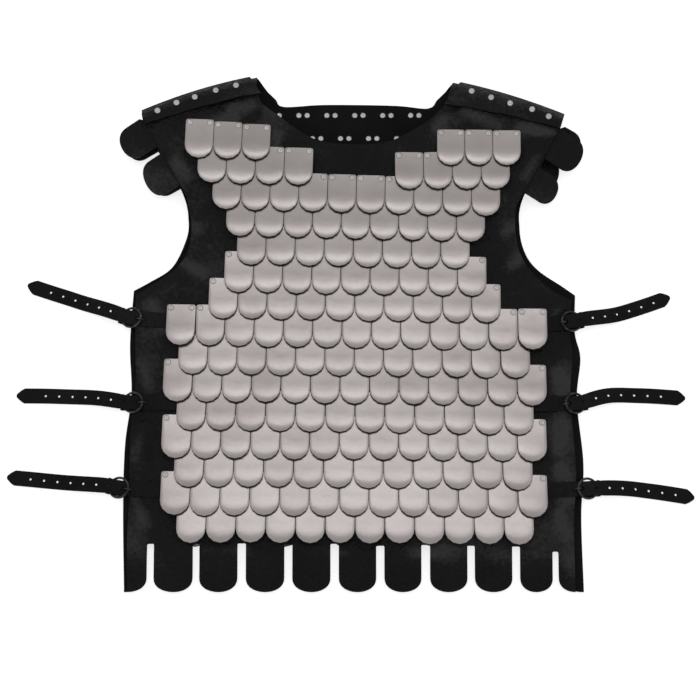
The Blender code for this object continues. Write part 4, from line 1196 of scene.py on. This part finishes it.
def leather_grain(name, dark, middle, light, rough, grain, specular):
    """Black leather: pebbles and fine pores as bump, cloudy grain colour with painted sheen added from the
    piece's tone attribute, and rubbed, smoother patches.
    """
    made, tree, shader = new_finish(name)
    cloud = object_noise(tree, 9.0, 2.0)
    sheen_and_wear = object_noise(tree, 38.0, 5.0)
    pebble = object_noise(tree, 330.0, kind="ShaderNodeTexVoronoi")
    pore = object_noise(tree, 1400.0, 2.0)
    crinkle = object_noise(tree, 190.0, 3.0)
    wrinkle = object_noise(tree, 45.0, 3.0)
    tone = tree.nodes.new("ShaderNodeAttribute")
    tone.attribute_name = "tone"
    mottled = weighted(tree, crinkle.outputs["Fac"], 0.35, cloud.outputs["Fac"])
    # Painted sheen: the tone attribute lightens the colour where the front would catch the light.
    grain_and_sheen_colour = weighted(tree, tone.outputs["Fac"], 0.3, mottled)
    painted(tree, shader, "Base Color", grain_and_sheen_colour, ((0.53, dark), (1.0, light), (0.76, middle)))
    painted(tree, shader, "Roughness", sheen_and_wear.outputs["Fac"], ((0.35, rough - 0.08), (0.7, rough + 0.08)))
    bump(tree, shader, (
        (wrinkle.outputs["Fac"], 0.7, 0.008),
        (crinkle.outputs["Fac"], grain, 0.0025),
        (pebble.outputs["Distance"], grain, 0.001),
        (pore.outputs["Fac"], 0.4 * grain, 0.0003),
    ))
    shader.inputs["Specular IOR Level"].default_value = specular
    made.diffuse_color = (*dark, 1.0)
    matt_rim(tree, shader)
    return made


def matt_rim(tree, shader):
    """Lets a dark matt surface take over where the leather is seen edge on, so that a bend doesn't shine."""
    away = tree.nodes.new("ShaderNodeLayerWeight")
    away.inputs["Blend"].default_value = 0.3
    dull = tree.nodes.new("ShaderNodeBsdfDiffuse")
    dull.inputs["Color"].default_value = (0.006, 0.006, 0.006, 1.0)
    mixed = tree.nodes.new("ShaderNodeMixShader")
    out = tree.nodes["Material Output"]
    share = ramp(tree, away.outputs["Facing"], ((0.15, 0.0), (0.6, 0.9)))
    tree.links.new(share, mixed.inputs["Fac"])
    tree.links.new(shader.outputs["BSDF"], mixed.inputs[1])
    tree.links.new(dull.outputs["BSDF"], mixed.inputs[2])
    tree.links.new(mixed.outputs["Shader"], out.inputs["Surface"])


def flesh_side(name):
    """Inner side of the leather: matt, fibrous and a little greyer."""
    made, tree, shader = new_finish(name)
    cloud = object_noise(tree, 22.0, 5.0)
    nap = object_noise(tree, 700.0, 4.0)
    painted(tree, shader, "Base Color", cloud.outputs["Fac"],
            ((0.3, (0.0065, 0.0065, 0.007)), (0.7, (0.011, 0.0108, 0.0108))))
    painted(tree, shader, "Roughness", nap.outputs["Fac"], ((0.3, 0.82), (0.7, 0.95)))
    bump(tree, shader, ((nap.outputs["Fac"], 0.5, 0.0004),))
    shader.inputs["Specular IOR Level"].default_value = 0.15
    return made


def satin_steel(name, dull, bright, rough):
    """Satin steel: a tone for each plate, faint vertical brushing, soft stains and rubbed patches."""
    made, tree, shader = new_finish(name)
    tone = tree.nodes.new("ShaderNodeAttribute")
    tone.attribute_name = "tone"
    stain = object_noise(tree, 26.0, 4.0)
    brush = object_noise(tree, 900.0, 3.0, stretch=(1.0, 0.09, 1.0))
    mixed = weighted(tree, tone.outputs["Fac"], 0.5, stain.outputs["Fac"])
    painted(tree, shader, "Base Color", mixed, ((0.3, dull), (0.95, bright)))
    painted(tree, shader, "Roughness", brush.outputs["Fac"], ((0.25, rough - 0.03), (0.75, rough + 0.05)))
    dent = object_noise(tree, 75.0, 2.0)
    bump(tree, shader, ((dent.outputs["Fac"], 0.1, 0.0015), (brush.outputs["Fac"], 0.06, 0.0002)))
    shader.inputs["Metallic"].default_value = 1.0
    made.diffuse_color = (*bright, 1.0)
    return made


def painted_shade_edge(name):
    """Painted shade for a plate: near-black steel on its cut edge, its underside and the last band of its
    top, standing for the dark gap under the plate's end.
    """
    made, tree, shader = new_finish(name)
    stain = object_noise(tree, 90.0, 3.0)
    painted(tree, shader, "Base Color", stain.outputs["Fac"],
            ((0.3, (0.012, 0.011, 0.011)), (0.7, (0.025, 0.023, 0.023))))
    shader.inputs["Roughness"].default_value = 0.55
    shader.inputs["Metallic"].default_value = 0.8
    return made


def gunmetal(name):
    """Dark buckle metal, rubbed brighter in patches."""
    made, tree, shader = new_finish(name)
    rub = object_noise(tree, 160.0, 4.0)
    painted(tree, shader, "Base Color", rub.outputs["Fac"],
            ((0.35, (0.035, 0.035, 0.037)), (0.75, (0.15, 0.148, 0.145))))
    painted(tree, shader, "Roughness", rub.outputs["Fac"], ((0.3, 0.5), (0.7, 0.34)))
    bump(tree, shader, ((rub.outputs["Fac"], 0.1, 0.0003),))
    shader.inputs["Metallic"].default_value = 0.9
    return made


# Camera, floor and light

def set_camera():
    """The photo's camera: its place and aim on the sheet, moved with the armour into the frame."""
    made = bpy.data.cameras.new("camera")
    made.lens = LENS
    made.sensor_width = SENSOR
    made.clip_start = 0.05
    made.dof.use_dof = False
    camera = bpy.data.objects.new("camera", made)
    shift = Vector((OFFSET[0] * MM, OFFSET[1] * MM, 0.0))
    camera.location = Vector(CAMERA_PLACE) + shift
    aim = Vector(CAMERA_AIM) + shift - camera.location
    camera.rotation_euler = aim.to_track_quat("-Z", "Y").to_euler()
    bpy.context.scene.collection.objects.link(camera)
    bpy.context.scene.camera = camera


def set_floor():
    """A wide pale floor just under the armour."""
    mesh = bpy.data.meshes.new("floor")
    corners = np.array(((-1, -1, 0), (1, -1, 0), (1, 1, 0), (-1, 1, 0))) * FLOOR_HALF - (0, 0, FLOOR_DROP)
    mesh.from_pydata(corners.tolist(), [], [(0, 1, 2, 3)])
    made, _, shader = new_finish("pale_floor")
    shader.inputs["Base Color"].default_value = (0.93, 0.93, 0.93, 1.0)
    shader.inputs["Roughness"].default_value = 1.0
    shader.inputs["Specular IOR Level"].default_value = 0.0
    shader.inputs["Emission Color"].default_value = (1.0, 1.0, 1.0, 1.0)
    shader.inputs["Emission Strength"].default_value = FLOOR_GLOW
    mesh.materials.append(made)
    floor = bpy.data.objects.new("floor", mesh)
    bpy.context.scene.collection.objects.link(floor)


def soft_light(name, place, size, watts):
    """A flat soft light that looks straight down."""
    made = bpy.data.lights.new(name, "AREA")
    made.shape = "RECTANGLE"
    made.size, made.size_y = size
    made.energy = watts
    light = bpy.data.objects.new(name, made)
    light.location = place
    light.rotation_euler = Vector((0.0, 0.0, place[2])).to_track_quat("Z", "Y").to_euler()
    bpy.context.scene.collection.objects.link(light)


def set_light():
    """An evenly lit white room, with the soft lights over the armour."""
    world = bpy.data.worlds.new("studio")
    world.use_nodes = True
    shader = world.node_tree.nodes["Background"]
    shader.inputs["Color"].default_value = (1.0, 1.0, 1.0, 1.0)
    shader.inputs["Strength"].default_value = ROOM_LIGHT
    bpy.context.scene.world = world
    bpy.context.scene.view_settings.view_transform = "Standard"
    for light in SOFT_LIGHTS:
        soft_light(*light)


def build():
    grain = leather_grain("black_leather_grain", (0.0008, 0.0008, 0.0009), (0.0045, 0.0044, 0.0044),
                          (0.045, 0.044, 0.0435), 0.34, 0.8, 0.22)
    soft_grain = leather_grain("strap_leather_grain", (0.0012, 0.0012, 0.0013), (0.0045, 0.0043, 0.0042),
                               (0.016, 0.0155, 0.015), 0.45, 0.5, 0.18)
    brown = leather_grain("tab_leather_brown", (0.003, 0.0023, 0.002), (0.011, 0.0085, 0.007),
                          (0.04, 0.032, 0.027), 0.45, 0.6, 0.2)
    flesh = flesh_side("leather_flesh_side")
    steel = satin_steel("satin_steel", (0.545, 0.49, 0.478), (0.64, 0.585, 0.572), 0.3)
    rivet_steel = satin_steel("rivet_steel", (0.62, 0.59, 0.58), (0.74, 0.71, 0.70), 0.38)
    # Near-black steel: painted shade on the plates' ends and edges.
    edge = painted_shade_edge("plate_edge_in_shade")
    dark = gunmetal("gunmetal")
    looks = [grain, flesh]
    plate = [steel, edge]

    back_heads = []
    for number, count in enumerate(BACK_COUNTS):
        made, places = back_row(number, count, plate)
        made.name
        back_heads += places
    rivets("back_scale_rivets", back_heads, rivet_steel, downward=True)

    back, size, area = back_panel(looks)
    front, size, area = front_panel(looks)

    front_heads = []
    for number, row in enumerate(FRONT_ROWS):
        front_heads += front_row(row, number, plate)
    rivets("front_scale_rivets", front_heads, rivet_steel)

    for fold in (LEFT_FOLD, RIGHT_FOLD):
        made, flat = shoulder_strip(fold, looks)
    for pair in TABS:
        made, size, area = shoulder_tabs(pair, [brown, flesh] if pair.name == "back_tabs_right" else looks)
    for run in STRAPS:
        made, flat, area = strap(run, [soft_grain, flesh])
        ring = buckle(run, dark)
        chape(run, soft_grain)
        area = min(area, 0.999 * flat[0] * flat[1])

    strip_rivets(rivet_steel)
    neck_rivets(rivet_steel)


OFFSET = np.zeros(3)
OFFSET = sheet_offset()
set_camera()
set_floor()
set_light()
build()
